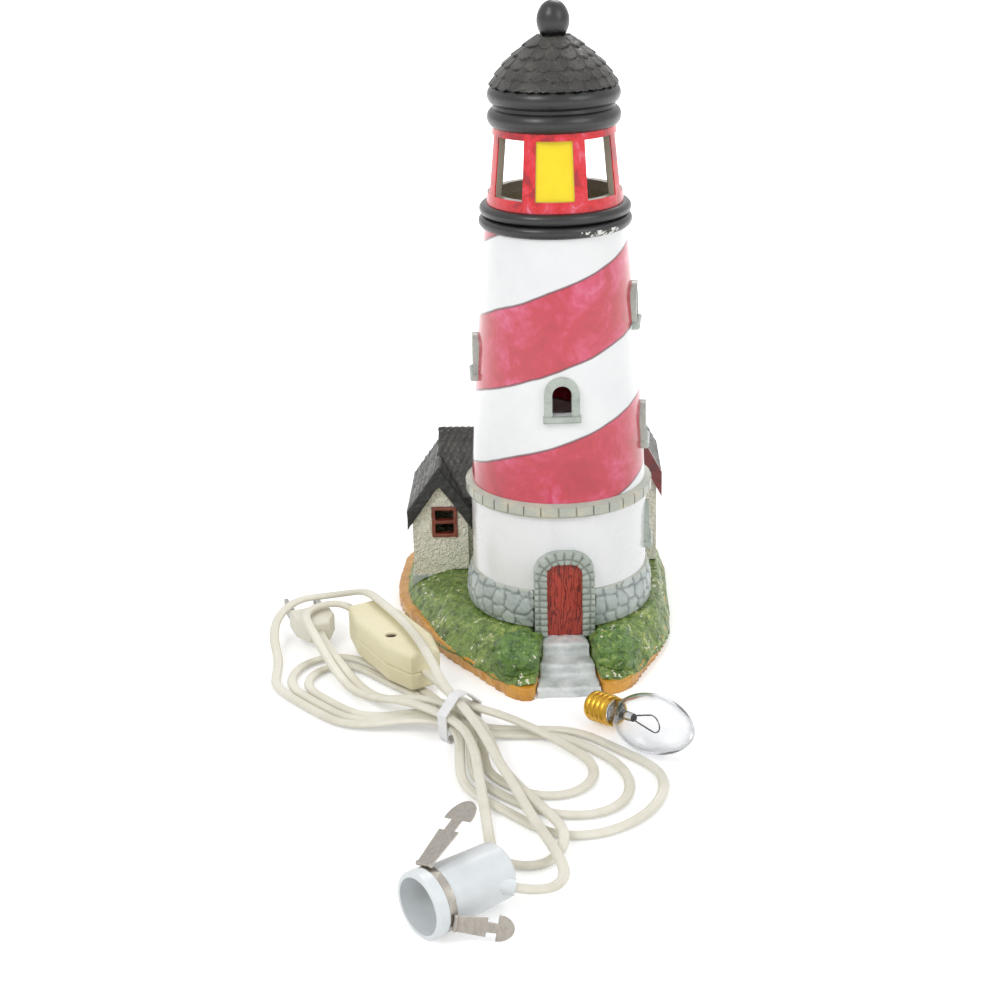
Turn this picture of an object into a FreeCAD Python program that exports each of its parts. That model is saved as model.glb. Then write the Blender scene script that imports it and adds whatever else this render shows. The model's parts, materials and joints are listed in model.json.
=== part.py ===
"""Painted ceramic lighthouse ornament with its clip-in light set and bulb.

Frame: millimetres, +Z up, origin on the tower's axis at the underside.
The front window of the lantern faces -Y.  The light set and the bulb lie in
front of the ornament on the surface that it stands on.
"""
import FreeCAD, Part
import math
import os

V = FreeCAD.Vector
UP = V(0, 0, 1)

# ---------------------------------------------------------------- tower sizes
wall = 4.0                     # thickness of the cast ceramic
plinth_bottom_z = 16.3
plinth_top_z = 32.0
drum_r = 36.1
plinth_lip = 0.8               # how far the plinth's head stands out from the drum
plinth_batter = 1.5            # how much wider the plinth is at its foot
plinth_top_r = drum_r + plinth_lip
plinth_bottom_r = plinth_top_r + plinth_batter
ledge_bottom_z = 64.2
ledge_height = 5.4
ledge_out = 2.3                # how far the ledge stands out from the drum
ledge_r = drum_r + ledge_out
ledge_stones = 34
ledge_joint = 0.7              # width of the joint between two stones
ledge_joint_depth = 0.8
shaft_set_back = 0.4           # how far the shaft's foot is inside the drum's face
shaft_bottom_r = drum_r - shaft_set_back
shaft_top_r = 28.3
shaft_swell = 0.6              # how far the side stands out at half height
shaft_middle_r = (shaft_bottom_r + shaft_top_r) / 2 + shaft_swell
shaft_top_z = 174.0

# -------------------------------------------------------- gallery and lantern
gallery_bead_half = 2.4        # half the height of one bead
gallery_bead_out = 2.3         # how far a bead stands out
gallery_out = 2.0              # how far the lower bead stands out from the shaft
gallery_lower_r = shaft_top_r + gallery_out
gallery_upper_r = gallery_lower_r - 0.4
gallery_hole_r = shaft_top_r - 6.3
lantern_bottom_r = 26.9
lantern_top_r = 23.9
lantern_height = 29.4
lantern_wall = 3.0
lantern_windows = 8
window_angle = 33.6            # degrees that one lantern window spans
window_sill = 4.2
window_head = 2.6
pane_thickness = 0.8
cornice_bead_half = 3.6
cornice_bead_out = 2.2
cornice_lower_r = 26.0
cornice_upper_r = 25.8
cornice_neck = 1.2             # height of the hollow between the two beads
cornice_hole_r = 19.5
dome_bottom_r = 24.4
dome_top_r = 6.6
dome_height = 18.2
dome_bulge = 2.6               # how far the dome's side swells past straight
dome_courses = 5
dome_lap = 0.75                # how far one course of tiles overhangs the next
dome_wall = 3.0
finial_r = 6.3
finial_height = 12.9
tip_flat = 0.5                 # small flat at the head of a rounded form

# ------------------------------------------------------------ door and windows
door_azimuth = 3.0             # degrees from -Y towards +X
door_width = 14.0
door_height = 31.5
door_corner = 0.62             # share of its half width that rounds each head corner
surround_corner = 0.84
door_bottom_z = 13.2
door_recess = 0.9
door_thickness = 3.0
arch_band = 5.2                # width of the stone arch round the door
arch_out = 1.7
tower_window_width = 7.6
tower_window_height = 12.4
tower_window_band = 3.2
tower_window_out = 1.5
sill_height = 2.6
sill_out = 2.9
# azimuth from -Y, height of the opening's foot
tower_window_places = {
    "front": (3.0, 105.5),
    "left": (-86.0, 115.5),
    "right_upper": (84.0, 136.0),
    "right_lower": (86.0, 86.0),
    "right_porch": (88.0, 42.0),
}

# ----------------------------------------------------------------------- base
slab_height = 5.4
crown_z = plinth_bottom_z
mound_shoulder_z = 12.6
mound_shoulder = 0.46          # share of the way from the rim to the crown
rim_set_back = 0.98            # the turf starts this far in from the rim
rim_points = [(17, -66), (27, -61), (34, -46), (42, -26), (46, 4), (46.5, 40),
              (44, 70), (30, 84), (-12, 86), (-50, 85), (-67, 74), (-71.5, 48),
              (-70, 20), (-59, -6), (-49, -28), (-36, -46), (-23, -64),
              (-13, -71), (-7, -67.5)]
crown_points = [(13, -40.5), (22, -36), (31, -28.5), (38, -17), (42.5, 4),
                (43, 34), (40, 60), (28, 76), (-12, 78), (-36, 76), (-44, 60),
                (-46, 42), (-46, 22), (-44.5, 4), (-40, -12), (-31, -27),
                (-19, -37), (-8, -41.5), (0, -42.5)]
step_back_width = 16.5
step_front_width = 26.0
step_fronts = [45.5, 56.0, 67.5]     # distance of each riser from the axis
step_tops = [door_bottom_z, 8.8, 4.4]
step_round = 1.6
bush_left = (-15.5, -54.0, 16.5)     # x, y, size
bush_right = (21.5, -49.5, 15.5)

# --------------------------------------------------------------------- houses
house_wall = 3.5
roof_thickness = 3.4
roof_courses = 6
course_lap = 0.6
board_depth = 1.6                    # thickness of a barge board
board_width = 5.2
wing_slope = 55.0
left_wing_x = (-63.5, -39.5)
left_wing_y = (25.3, 71.0)
left_wing_foot_z = 7.0
left_wing_eave_z = 41.0
foundation_top_z = 13.5
foundation_out = 0.8
left_window_x = -49.6
left_window_size = (11.2, 14.0)
left_window_z = 31.5
left_window_bar = 1.7
left_window_out = 0.9
left_board_y = 22.5
right_wing_x = (19.0, 42.5)
right_wing_y = (34.0, 70.0)
right_wing_eave_z = 54.0
middle_y = (30.0, 73.0)
middle_eave_z = 46.0
middle_slope = 46.5
right_slope = 62.0
roof_overhang = 2.2
light_hole_r = 12.7
light_hole_x = -10.0
light_hole_z = 30.5
light_way = (24.0, 20.0, 52.0)       # width, foot and head of the way inside


# ------------------------------------------------------------------ light set
socket_mouth = V(-45.0, -230.2, 11.25)
socket_axis = V(0.758, 0.652, 0).normalize()         # from the mouth to the rear
socket_side = V(0.652, -0.758, 0).normalize()
socket_length = 33.0
socket_rim_r = 11.2
socket_rim_height = 4.2
socket_body_r = 10.4
socket_end_r = 9.6
socket_bore_r = 9.5
socket_bore_depth = 11.5
shell_bore_r = 6.6
shell_bore_end = 27.0
shell_z = (12.0, 24.0)
shell_thickness = 0.5
thread_crest = 0.45
insulator_z = 25.2
contact_height = 1.8
strain_boss_r = 2.7
clip_band_z = (4.4, 7.2)
clip_band_r = 11.0
wing_roll_r = 0.8
wing_thickness = 0.5
wing_full_length = 25.0
# angle round the socket from its camera side, lean, length, share of width
upper_wing = (108.0, 30.0, 25.0, 1.0)
lower_wing = (-14.0, 40.0, 18.0, 0.78)

switch_width = 21.0
switch_tip_width = 13.0
switch_top = 8.5                     # above the mid-plane
switch_bottom = 7.5
switch_wall = 1.8
switch_round = 1.8
wheel_r = 6.2
wheel_height = 4.5
wheel_out = 1.6                      # how far the wheel stands out
wheel_notches = 20
wheel_pin_r = 1.4
wheel_pin_gap = 0.35
wheel_x = -7.0
screw_x = -7.0
screw_y = 4.2
screw_head_r = 2.0
screw_post_r = screw_head_r + 1.1
screw_shank_r = 1.1
screw_sunk = 2.4
contact_reach = 16.0

plug_length = 18.0
plug_width = 17.0
plug_neck_width = 9.0
plug_height = 9.0
blade_spacing = 12.7
blade_length = 15.0
blade_root = 6.0
blade_width = 6.35
blade_thickness = 1.5

bulb_foot = V(11.8, -85.6, 6.4)
bulb_axis = V(0.648, -0.763, 0.149).normalize()
bulb_length = 55.0
bulb_base_r = 5.95
base_height = 14.0
bulb_neck_r = 5.6
glass_foot = 12.6
glass_gap = 0.1                # cement between the glass and the brass collar
glass_r = 11.1
glass_wide_z = 33.0
glass_thickness = 0.8
stem_top = 24.0
wire_r = 0.3
filament_z = 33.0
filament_half = 3.2
filament_rise = 4.5
filament_r = 0.25

# ----------------------------------------------------------------------- cord
cord_r = 1.6
cord_rest_z = 1.75
layer = 4.0                          # from one layer of the bundle to the next
tie_lift = 0.75
slot_pitch = 5.3
bundle_tie = V(-38, -98, 0)
bundle_along = V(0.7314, -0.6820, 0).normalize()
bundle_across = V(0.6820, 0.7314, 0).normalize()
# side of the tie, reach, half width, length of the round end, slots at the tie
hank_loops = [(-1, 98.0, 22.6, 23.0, 2.0, -1.0), (1, 91.0, 30.0, 22.8, 1.0, -1.0),
              (-1, 88.8, 18.1, 18.6, 1.0, 0.0), (1, 80.0, 23.4, 30.3, 0.0, 0.0),
              (-1, 79.6, 13.6, 14.2, 0.0, 1.0), (1, 62.9, 17.1, 18.9, 1.113, 1.0)]
loop_swell = {-1: 41.0, 1: 35.5}
right_sweep = (11.0, 138.0, 11.1)
left_sweep = (7.9,)
hank_start = 0.8
hank_steps = 12
lead_route = [(98.9, -72.7, 10.6), (102.5, -69, 9.4), (105.2, -60.5, 7.4),
              (101.5, -51.5, 6.6), (92.5, -45.5, 7.2), (80, -38.5, 6.6), (66, -31, 5.8),
              (52, -24.5, 8.9), (37, -17.5, 10.7), (22, -9.5, 12.7), (6, -3, 14.7),
              (-10, 2, 15.4), (-26, 9, 21.9), (-42, 17.5, 21.9), (-58, 24.5, 21.9),
              (-75, 30, 21.9), (-91, 34.8, 21.9), (-105, 36, 16.3), (-115, 30.5, 13.7),
              (-119, 20, 14.6), (-118, 8.5, 12), (-112, -0.5, 7), (-97.9, -8.4, 1.75),
              (-91.26, -15.79, 1.75)]
feed_route = [(0, 5.9, 10.5), (-11, 6.6, 10.5), (-22.4, 10.5, 11.1), (-33, 13.5, 11.2)]
plug_route = [(-88, 29.2, 11.2), (-95.2, 31.3, 13), (-102.3, 28.7, 14.9),
              (-106.5, 22.5, 14.9), (-106.2, 15, 14.9), (-101.6, 9.1, 14.9),
              (-90.5, 4.6, 12.6), (-75, -0.8, 6.6), (-57, -5.4, 1.8), (-40, -8.4, 5),
              (-24, -8, 9.8), (-9, -6.6, 10.5), (8, -7.2, 10.5), (22, -14.5, 9.4),
              (35, -25, 6.6), (48, -35.8, 5.4), (60, -45.5, 1.8), (69.7, -53.6, 1.8),
              (76.9, -54.5, 1.8), (83.5, -51.3, 1.8), (87.3, -45, 1.8), (87, -37.7, 3.4),
              (82.8, -31.7, 6.3), (72, -26.9, 6), (58, -22.5, 5.8), (45, -18.5, 5.9),
              (33, -13, 6.1), (21, -6, 10.1), (8, 0.4, 10.5), (-9, 0.4, 10.8),
              (-25, -2.2, 8.6), (-42, -3, 1.8), (-58, -0.9, 1.8), (-73, 3.2, 5.8),
              (-86, 7.8, 5.8), (-97, 13, 8.2)]
tie_width = 4.5
tie_thickness = 0.6
tie_outline = [(-7.4, 0.65), (7.2, 0.65), (8.3, 3.0), (8.7, 11.4), (4.0, 16.0), (1.6, 17.6),
               (-2.6, 17.6), (-9.3, 12.0), (-8.6, 2.6)]
tie_corner = 4
tie_tail = V(-14, 24, 3.2)


# ------------------------------------------------------------- shape helpers
def face(points):
    """A flat face through straight runs."""
    return Part.Face(Part.makePolygon(points + [points[0]]))


def lathe(edges):
    """A solid turned about Z from edges in the XZ plane."""
    return Part.Face(Part.Wire(edges)).revolve(V(), UP, 360)


def lathe_points(points):
    return face([V(r, 0, z) for r, z in points]).revolve(V(), UP, 360)


def line(a, b):
    return Part.LineSegment(V(a[0], 0, a[1]), V(b[0], 0, b[1])).toShape()


def arc(a, middle, b):
    ends = [V(p[0], 0, p[1]) for p in (a, middle, b)]
    return Part.Arc(*ends).toShape()


def box(x, y, z):
    """A block between two values on each axis."""
    return Part.makeBox(x[1] - x[0], y[1] - y[0], z[1] - z[0], V(x[0], y[0], z[0]))


def turned(shape, degrees):
    """The shape turned about the tower's axis."""
    copy = shape.copy()
    copy.rotate(V(), UP, degrees)
    return copy


def arch(width, height, near, far, foot, corner=1.0):
    """A round-headed block that runs out along -Y.

    Where corner is under 1, its head is flat between rounded corners.
    """
    half = width / 2
    if corner < 1:
        block = box((-half, half), (-far, -near), (foot, foot + height))
        edges = [e for e in block.Edges if e.CenterOfMass.z > foot + height - 0.01
                 and abs(e.CenterOfMass.x) > half - 0.01]
        return block.makeFillet(half * corner, edges)
    spring = foot + height - half
    low_left, low_right = V(-half, -near, foot), V(half, -near, foot)
    top_left, top_right = V(-half, -near, spring), V(half, -near, spring)
    crown = V(0, -near, foot + height)
    outline = Part.Wire([
        Part.LineSegment(top_left, low_left).toShape(),
        Part.LineSegment(low_left, low_right).toShape(),
        Part.LineSegment(low_right, top_right).toShape(),
        Part.Arc(top_right, crown, top_left).toShape()])
    return Part.Face(outline).extrude(V(0, near - far, 0))


def closed_spline(points, z):
    curve = Part.BSplineCurve()
    curve.interpolate(Points=[V(x, y, z) for x, y in points], PeriodicFlag=True)
    return Part.Wire([curve.toShape()])


def pieces(shape):
    """The shape's solids as one compound, or the solid when it is alone."""
    solids = shape.Solids
    return solids[0] if len(solids) == 1 else Part.makeCompound(solids)


# ---------------------------------------------------------------- the tower
ledge_top_z = ledge_bottom_z + ledge_height
shaft_middle_z = (ledge_top_z + shaft_top_z) / 2
gallery_lower_z = shaft_top_z + gallery_bead_half
gallery_upper_z = gallery_lower_z + 2 * gallery_bead_half
lantern_bottom_z = gallery_upper_z + gallery_bead_half
lantern_top_z = lantern_bottom_z + lantern_height
cornice_lower_z = lantern_top_z + cornice_bead_half
cornice_upper_z = cornice_lower_z + 2 * cornice_bead_half + cornice_neck
dome_bottom_z = cornice_upper_z + cornice_bead_half
dome_top_z = dome_bottom_z + dome_height


def shaft_side(inset):
    """The shaft's swelling side, moved in by the inset."""
    return arc((shaft_bottom_r - inset, ledge_top_z),
               (shaft_middle_r - inset, shaft_middle_z),
               (shaft_top_r - inset, shaft_top_z))


def tower_outside():
    """Everything inside the tower's outer surface, below the gallery."""
    low, shoulder = (0, slab_height), (plinth_bottom_r, slab_height)
    plinth_foot = (plinth_bottom_r, plinth_bottom_z)
    plinth_head, drum_foot = (plinth_top_r, plinth_top_z), (drum_r, plinth_top_z)
    drum_head, ledge_foot = (drum_r, ledge_bottom_z), (ledge_r, ledge_bottom_z)
    ledge_head, shaft_foot = (ledge_r, ledge_top_z), (shaft_bottom_r, ledge_top_z)
    shaft_head, top = (shaft_top_r, shaft_top_z), (0, shaft_top_z)
    corners = [low, shoulder, plinth_foot, plinth_head, drum_foot, drum_head,
               ledge_foot, ledge_head, shaft_foot]
    edges = [line(a, b) for a, b in zip(corners, corners[1:])]
    edges += [shaft_side(0), line(shaft_head, top), line(top, low)]
    return lathe(edges)


def make_plinth():
    inner = drum_r - wall
    bulge = (plinth_bottom_r + 0.35, (plinth_bottom_z + plinth_top_z) / 2)
    foot, head = (plinth_bottom_r, plinth_bottom_z), (plinth_top_r, plinth_top_z)
    return lathe([
        line((inner, plinth_bottom_z), foot), arc(foot, bulge, head),
        line(head, (inner, plinth_top_z)),
        line((inner, plinth_top_z), (inner, plinth_bottom_z))])


def make_drum():
    return lathe_points([(drum_r - wall, plinth_top_z), (drum_r, plinth_top_z),
                         (drum_r, ledge_bottom_z), (drum_r - wall, ledge_bottom_z)])


def make_ledge():
    inner = drum_r - wall
    slope = 1.2
    ring = lathe_points([
        (inner, ledge_bottom_z), (ledge_r - 0.5, ledge_bottom_z),
        (ledge_r, ledge_bottom_z + 0.8), (ledge_r, ledge_top_z - slope),
        (shaft_bottom_r + 0.4, ledge_top_z), (inner, ledge_top_z)])
    joint = box((-ledge_joint / 2, ledge_joint / 2),
                (-ledge_r - 1, -ledge_r + ledge_joint_depth),
                (ledge_bottom_z - 1, ledge_top_z + 1))
    joints = [turned(joint, 360 * i / ledge_stones) for i in range(ledge_stones)]
    return ring.cut(Part.makeCompound(joints))


def make_shaft():
    top_in = (shaft_top_r - wall, shaft_top_z)
    foot_in = (shaft_bottom_r - wall, ledge_top_z)
    return lathe([
        line(foot_in, (shaft_bottom_r, ledge_top_z)), shaft_side(0),
        line((shaft_top_r, shaft_top_z), top_in), shaft_side(wall)])


def shaft_radius(z):
    """Radius of the shaft or drum at a height."""
    if z < ledge_top_z:
        return drum_r
    circle = shaft_side(0).Curve
    centre = circle.Center
    return centre.x + math.sqrt(circle.Radius ** 2 - (z - centre.z) ** 2)


def bead_ring(radius, z, half, out, inner):
    """One rounded bead on a flat band."""
    back = radius - out
    return lathe([
        line((inner, z - half), (back, z - half)),
        arc((back, z - half), (radius, z), (back, z + half)),
        line((back, z + half), (inner, z + half)),
        line((inner, z + half), (inner, z - half))])


def make_lantern():
    base, head = lantern_bottom_z, lantern_top_z
    shell = lathe_points([
        (lantern_bottom_r - lantern_wall, base), (lantern_bottom_r, base),
        (lantern_top_r, head), (lantern_top_r - lantern_wall, head)])
    half = math.radians(window_angle / 2)
    reach = lantern_bottom_r + 5
    wedge = face([V(0, 0, base + window_sill),
                  V(-reach * math.tan(half), -reach, base + window_sill),
                  V(reach * math.tan(half), -reach, base + window_sill)])
    wedge = wedge.extrude(V(0, 0, lantern_height - window_sill - window_head))
    step = 360 / lantern_windows
    return shell.cut(Part.makeCompound(
        [turned(wedge, step * i) for i in range(lantern_windows)]))


def lantern_radius(z):
    share = (z - lantern_bottom_z) / lantern_height
    return lantern_bottom_r + share * (lantern_top_r - lantern_bottom_r)


def make_pane():
    """Flat pane in the front window, held between the two jambs."""
    low = lantern_bottom_z + window_sill
    high = lantern_top_z - window_head
    half = math.radians(window_angle / 2)
    back_low = lantern_radius(low) * math.cos(half) - 1.0
    back_high = lantern_radius(high) * math.cos(half) - 1.0
    wide_low = back_low * math.tan(half)
    wide_high = back_high * math.tan(half)
    front = [V(-wide_low, -back_low, low), V(wide_low, -back_low, low),
             V(wide_high, -back_high, high), V(-wide_high, -back_high, high)]
    return face(front).extrude(V(0, pane_thickness, 0))


def dome_outline(share):
    """Radius and height of the plain dome, share 0 at the foot."""
    r = dome_bottom_r + share * (dome_top_r - dome_bottom_r)
    r += dome_bulge * math.sin(math.pi * share) * (1 - 0.35 * share)
    return r, dome_bottom_z + share * dome_height


def make_dome():
    """Bell-shaped roof whose courses of tiles lap over each other."""
    outline = []
    for i in range(dome_courses):
        foot_r, foot_z = dome_outline(i / dome_courses)
        head_r, head_z = dome_outline((i + 1) / dome_courses)
        outline += [(foot_r + dome_lap, foot_z), (head_r, head_z)]
    inner = [(dome_top_r - dome_wall, dome_top_z - dome_wall),
             (dome_bottom_r - dome_wall - 1, dome_bottom_z)]
    return lathe_points(outline + [(0, dome_top_z), (0, dome_top_z - dome_wall)] + inner)


def make_finial():
    neck = finial_r * 0.72
    foot, head = dome_top_z, dome_top_z + finial_height
    belly = (finial_r, foot + finial_height * 0.45)
    return lathe([line((0, foot), (neck, foot)),
                  arc((neck, foot), belly, (finial_r * 0.78, foot + finial_height * 0.78)),
                  arc((finial_r * 0.78, foot + finial_height * 0.78),
                      (finial_r * 0.46, foot + finial_height * 0.945), (tip_flat, head)),
                  line((tip_flat, head), (0, head)), line((0, head), (0, foot))])


def tower_window(name, outside):
    """The opening's cutter and its stone surround with a sill."""
    azimuth, foot = tower_window_places[name]
    middle_z = foot + tower_window_height / 2
    radius = shaft_radius(middle_z)
    hole = arch(tower_window_width, tower_window_height, radius - 2 * wall,
                radius + 4, foot)
    band = tower_window_band
    frame = arch(tower_window_width + 2 * band, tower_window_height + band,
                 radius - 3, radius + tower_window_out, foot)
    half = tower_window_width / 2 + band + 0.5
    sill = box((-half, half), (-radius - sill_out, -radius + 3),
               (foot - sill_height, foot))
    sill = sill.makeFillet(0.9, [e for e in sill.Edges
                                 if e.CenterOfMass.y < -radius - sill_out + 0.1])
    surround = frame.cut(hole).fuse(sill)
    surround = turned(surround, azimuth).cut(outside)
    return turned(hole, azimuth), pieces(surround)


# ------------------------------------------------------------- door and steps
def make_door():
    """Cutter, stone arch and boarded leaf of the doorway."""
    face_r = plinth_bottom_r
    opening = arch(door_width, door_height, face_r - 8, face_r + 5, door_bottom_z,
                   door_corner)
    band = arch(door_width + 2 * arch_band, door_height + arch_band,
                face_r - 8, face_r + arch_out, door_bottom_z, surround_corner)
    leaf = arch(door_width, door_height, face_r - door_recess - door_thickness,
                face_r - door_recess, door_bottom_z, door_corner)
    gap = door_width / 5
    for i in (-1.5, -0.5, 0.5, 1.5):
        groove = box((i * gap - 0.2, i * gap + 0.2),
                     (-face_r + door_recess - 0.3, -face_r + door_recess + 0.5),
                     (door_bottom_z, door_bottom_z + door_height))
        groove.translate(V(0, -0.6, 0))
        leaf = leaf.cut(groove)
    surround = band.cut(opening)
    return [turned(s, door_azimuth) for s in (band, surround, leaf)]


def steps_plan(back, front):
    """Plan of the steps, which widen evenly from the door to the last riser."""
    widen = (step_front_width - step_back_width) / 2 / (step_fronts[-1] - back)
    half_back = step_back_width / 2
    half_front = half_back + widen * (front - back)
    return face([V(-half_back, -back, 0), V(-half_front, -front, 0),
                 V(half_front, -front, 0), V(half_back, -back, 0)])


def make_way():
    """Open space over the steps, which the turf and the rim leave free."""
    back = plinth_bottom_r - door_recess - door_thickness
    way = steps_plan(back, step_fronts[-1] + 4).extrude(V(0, 0, 60))
    return turned(way, door_azimuth)


def make_steps():
    """Three treads that widen towards the ground."""
    back = plinth_bottom_r - door_recess - door_thickness
    solid = None
    for front, top in zip(step_fronts, step_tops):
        tread = steps_plan(back, front).extrude(V(0, 0, top))
        edges = [e for e in tread.Edges if e.CenterOfMass.y < -front + 0.01
                 and e.CenterOfMass.z > top - 0.01]
        tread = tread.makeFillet(step_round, edges)
        solid = tread if solid is None else solid.fuse(tread)
    return turned(solid.removeSplitter(), door_azimuth)


# ----------------------------------------------------------------------- base
def make_slab():
    foot, head = closed_spline(rim_points, 0), closed_spline(rim_points, slab_height)
    return Part.makeLoft([foot, head], True, True)


def make_mound():
    """Turf between the rim and the level crown that carries the buildings."""
    rim = [(x * rim_set_back, y * rim_set_back) for x, y in rim_points]
    share = mound_shoulder
    shoulder = [(a[0] + share * (b[0] - a[0]), a[1] + share * (b[1] - a[1]))
                for a, b in zip(rim, crown_points)]
    sections = [closed_spline(rim, slab_height),
                closed_spline(shoulder, mound_shoulder_z),
                closed_spline(crown_points, crown_z)]
    return Part.makeLoft(sections, True, True)


def make_bush(place):
    """A clipped shrub as a squat turned form with a round head."""
    x, y, size = place
    half = size * 0.62
    foot, head = slab_height, crown_z + size * 0.34
    girth = foot + (head - foot) * 0.5
    shape = lathe([line((0, foot), (half * 0.9, foot)),
                   arc((half * 0.9, foot), (half * 1.06, girth), (half * 0.72, head - 2.2)),
                   arc((half * 0.72, head - 2.2), (half * 0.4, head - 0.6), (tip_flat, head)),
                   line((tip_flat, head), (0, head)), line((0, head), (0, foot))])
    shape.translate(V(x, y, 0))
    return shape


# --------------------------------------------------------------------- houses
def roof(centre, half, eave_z, slope, reach, axis):
    """A gabled roof with lapped courses; axis says which way the ridge runs.

    centre and half set the span across the ridge, reach is along it.
    """
    rise = math.tan(math.radians(slope))
    depth = roof_thickness / math.cos(math.radians(slope))
    over = half + roof_overhang
    low = eave_z - roof_overhang * rise
    apex = eave_z + half * rise
    right = []
    for i in range(roof_courses):
        a = over * (1 - i / roof_courses)
        b = over * (1 - (i + 1) / roof_courses)
        right += [(a, apex + depth - a * rise + course_lap), (b, apex + depth - b * rise)]
    right[-1] = (0, apex + depth)
    left = [(-across, z) for across, z in reversed(right[:-1])]
    outline = [(over, low)] + right + left + [(-over, low), (0, apex)]
    if axis == "y":
        points = [V(centre + across, reach[0], z) for across, z in outline]
        return face(points).extrude(V(0, reach[1] - reach[0], 0))
    points = [V(reach[0], centre + across, z) for across, z in outline]
    return face(points).extrude(V(reach[1] - reach[0], 0, 0))


def gabled_block(centre, half, foot_z, eave_z, slope, reach, axis):
    """A solid block with a gable at each end."""
    apex = eave_z + half * math.tan(math.radians(slope))
    outline = [(-half, foot_z), (half, foot_z), (half, eave_z), (0, apex), (-half, eave_z)]
    if axis == "y":
        points = [V(centre + across, reach[0], z) for across, z in outline]
        return face(points).extrude(V(0, reach[1] - reach[0], 0))
    points = [V(reach[0], centre + across, z) for across, z in outline]
    return face(points).extrude(V(reach[1] - reach[0], 0, 0))


def hollow_block(centre, half, foot_z, eave_z, slope, reach, axis):
    outer = gabled_block(centre, half, foot_z, eave_z, slope, reach, axis)
    inner = gabled_block(centre, half - house_wall, foot_z, eave_z - house_wall / 2,
                         slope, (reach[0] + house_wall, reach[1] - house_wall), axis)
    return outer.cut(inner)


# ------------------------------------------------------------- house assembly
def left_wing():
    """The stuccoed cottage: foundation, walls, window, roof, barge boards."""
    centre = sum(left_wing_x) / 2
    half = (left_wing_x[1] - left_wing_x[0]) / 2
    block = hollow_block(centre, half, foundation_top_z, left_wing_eave_z,
                         wing_slope, left_wing_y, "y")
    out = foundation_out
    footing = box((left_wing_x[0] - out, left_wing_x[1] + out),
                  (left_wing_y[0] - out, left_wing_y[1] + out),
                  (left_wing_foot_z, foundation_top_z))
    footing = footing.cut(box((left_wing_x[0] + house_wall, left_wing_x[1] - house_wall),
                              (left_wing_y[0] + house_wall, left_wing_y[1] - house_wall),
                              (left_wing_foot_z, foundation_top_z)))
    wide, high = left_window_size
    x = (left_window_x - wide / 2, left_window_x + wide / 2)
    z = (left_window_z, left_window_z + high)
    front = left_wing_y[0]
    frame = box(x, (front - left_window_out, front + house_wall - 1), z)
    bar = left_window_bar
    light = (high - 3 * bar) / 2
    openings = [box((x[0] + bar, x[1] - bar), (front - 5, front + 5),
                    (low, low + light)) for low in (z[0] + bar, z[0] + 2 * bar + light)]
    window = frame.cut(Part.makeCompound(openings))
    hole = box(x, (front - 5, front + house_wall + 1), z)
    boards = gable_boards(centre, half, left_wing_eave_z, wing_slope, left_board_y)
    top = roof(centre, half, left_wing_eave_z, wing_slope,
               (left_board_y + board_depth, left_wing_y[1] + 2), "y")
    return footing, block.cut(hole), window, top, boards


def gable_boards(centre, half, eave_z, slope, y):
    """The two sloping boards under the edge of a gable."""
    rise = math.tan(math.radians(slope))
    tall = 1 / math.cos(math.radians(slope))
    over = half + roof_overhang
    apex = eave_z + half * rise + roof_thickness * tall + course_lap
    low = apex - over * rise
    deep = board_width * tall
    outline = [(over, low), (0, apex), (-over, low), (-over, low - deep),
               (0, apex - deep), (over, low - deep)]
    board = face([V(centre + x, y, z) for x, z in outline])
    return board.extrude(V(0, board_depth, 0))


def middle_range():
    centre = sum(middle_y) / 2
    half = (middle_y[1] - middle_y[0]) / 2
    reach = (sum(left_wing_x) / 2, right_wing_x[0])
    walls = hollow_block(centre, half, crown_z, middle_eave_z, middle_slope, reach, "x")
    top = roof(centre, half, middle_eave_z, middle_slope, (reach[0] - 1, reach[1]), "x")
    hole = Part.makeCylinder(light_hole_r, house_wall + 6,
                             V(light_hole_x, middle_y[1] - house_wall - 3, light_hole_z),
                             V(0, 1, 0))
    return walls.cut(hole), top


def right_wing():
    centre = sum(right_wing_x) / 2
    half = (right_wing_x[1] - right_wing_x[0]) / 2
    walls = hollow_block(centre, half, crown_z, right_wing_eave_z, right_slope,
                         right_wing_y, "y")
    front = right_wing_y[0] - 0.6 - board_depth
    top = roof(centre, half, right_wing_eave_z, right_slope,
               (front + board_depth, right_wing_y[1] + 2), "y")
    return walls, top, gable_boards(centre, half, right_wing_eave_z, right_slope, front)


# ------------------------------------------------------------------ light set
def placed(shape, origin, x_axis, z_axis):
    """Move a shape from its own frame to the one given."""
    x = V(x_axis).normalize()
    z = V(z_axis).normalize()
    y = z.cross(x).normalize()
    x = y.cross(z)
    matrix = FreeCAD.Matrix(x.x, y.x, z.x, origin.x, x.y, y.y, z.y, origin.y,
                            x.z, y.z, z.z, origin.z, 0, 0, 0, 1)
    copy = shape.copy()
    copy.Placement = FreeCAD.Placement(matrix).multiply(shape.Placement)
    return copy


def threaded(radius, thickness, foot, head, turns, crest):
    """Thin screw shell drawn as rounded ridges along Z, open at both ends."""
    pitch = (head - foot) / turns
    edges = []
    for i in range(turns):
        low = foot + i * pitch
        a, b, c = (radius, low), (radius + crest, low + pitch / 2), (radius, low + pitch)
        edges.append(arc(a, b, c))
    edges.append(line((radius, head), (radius - thickness, head)))
    edges.append(line((radius - thickness, head), (radius - thickness, foot)))
    edges.append(line((radius - thickness, foot), (radius, foot)))
    return lathe(edges)


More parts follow.
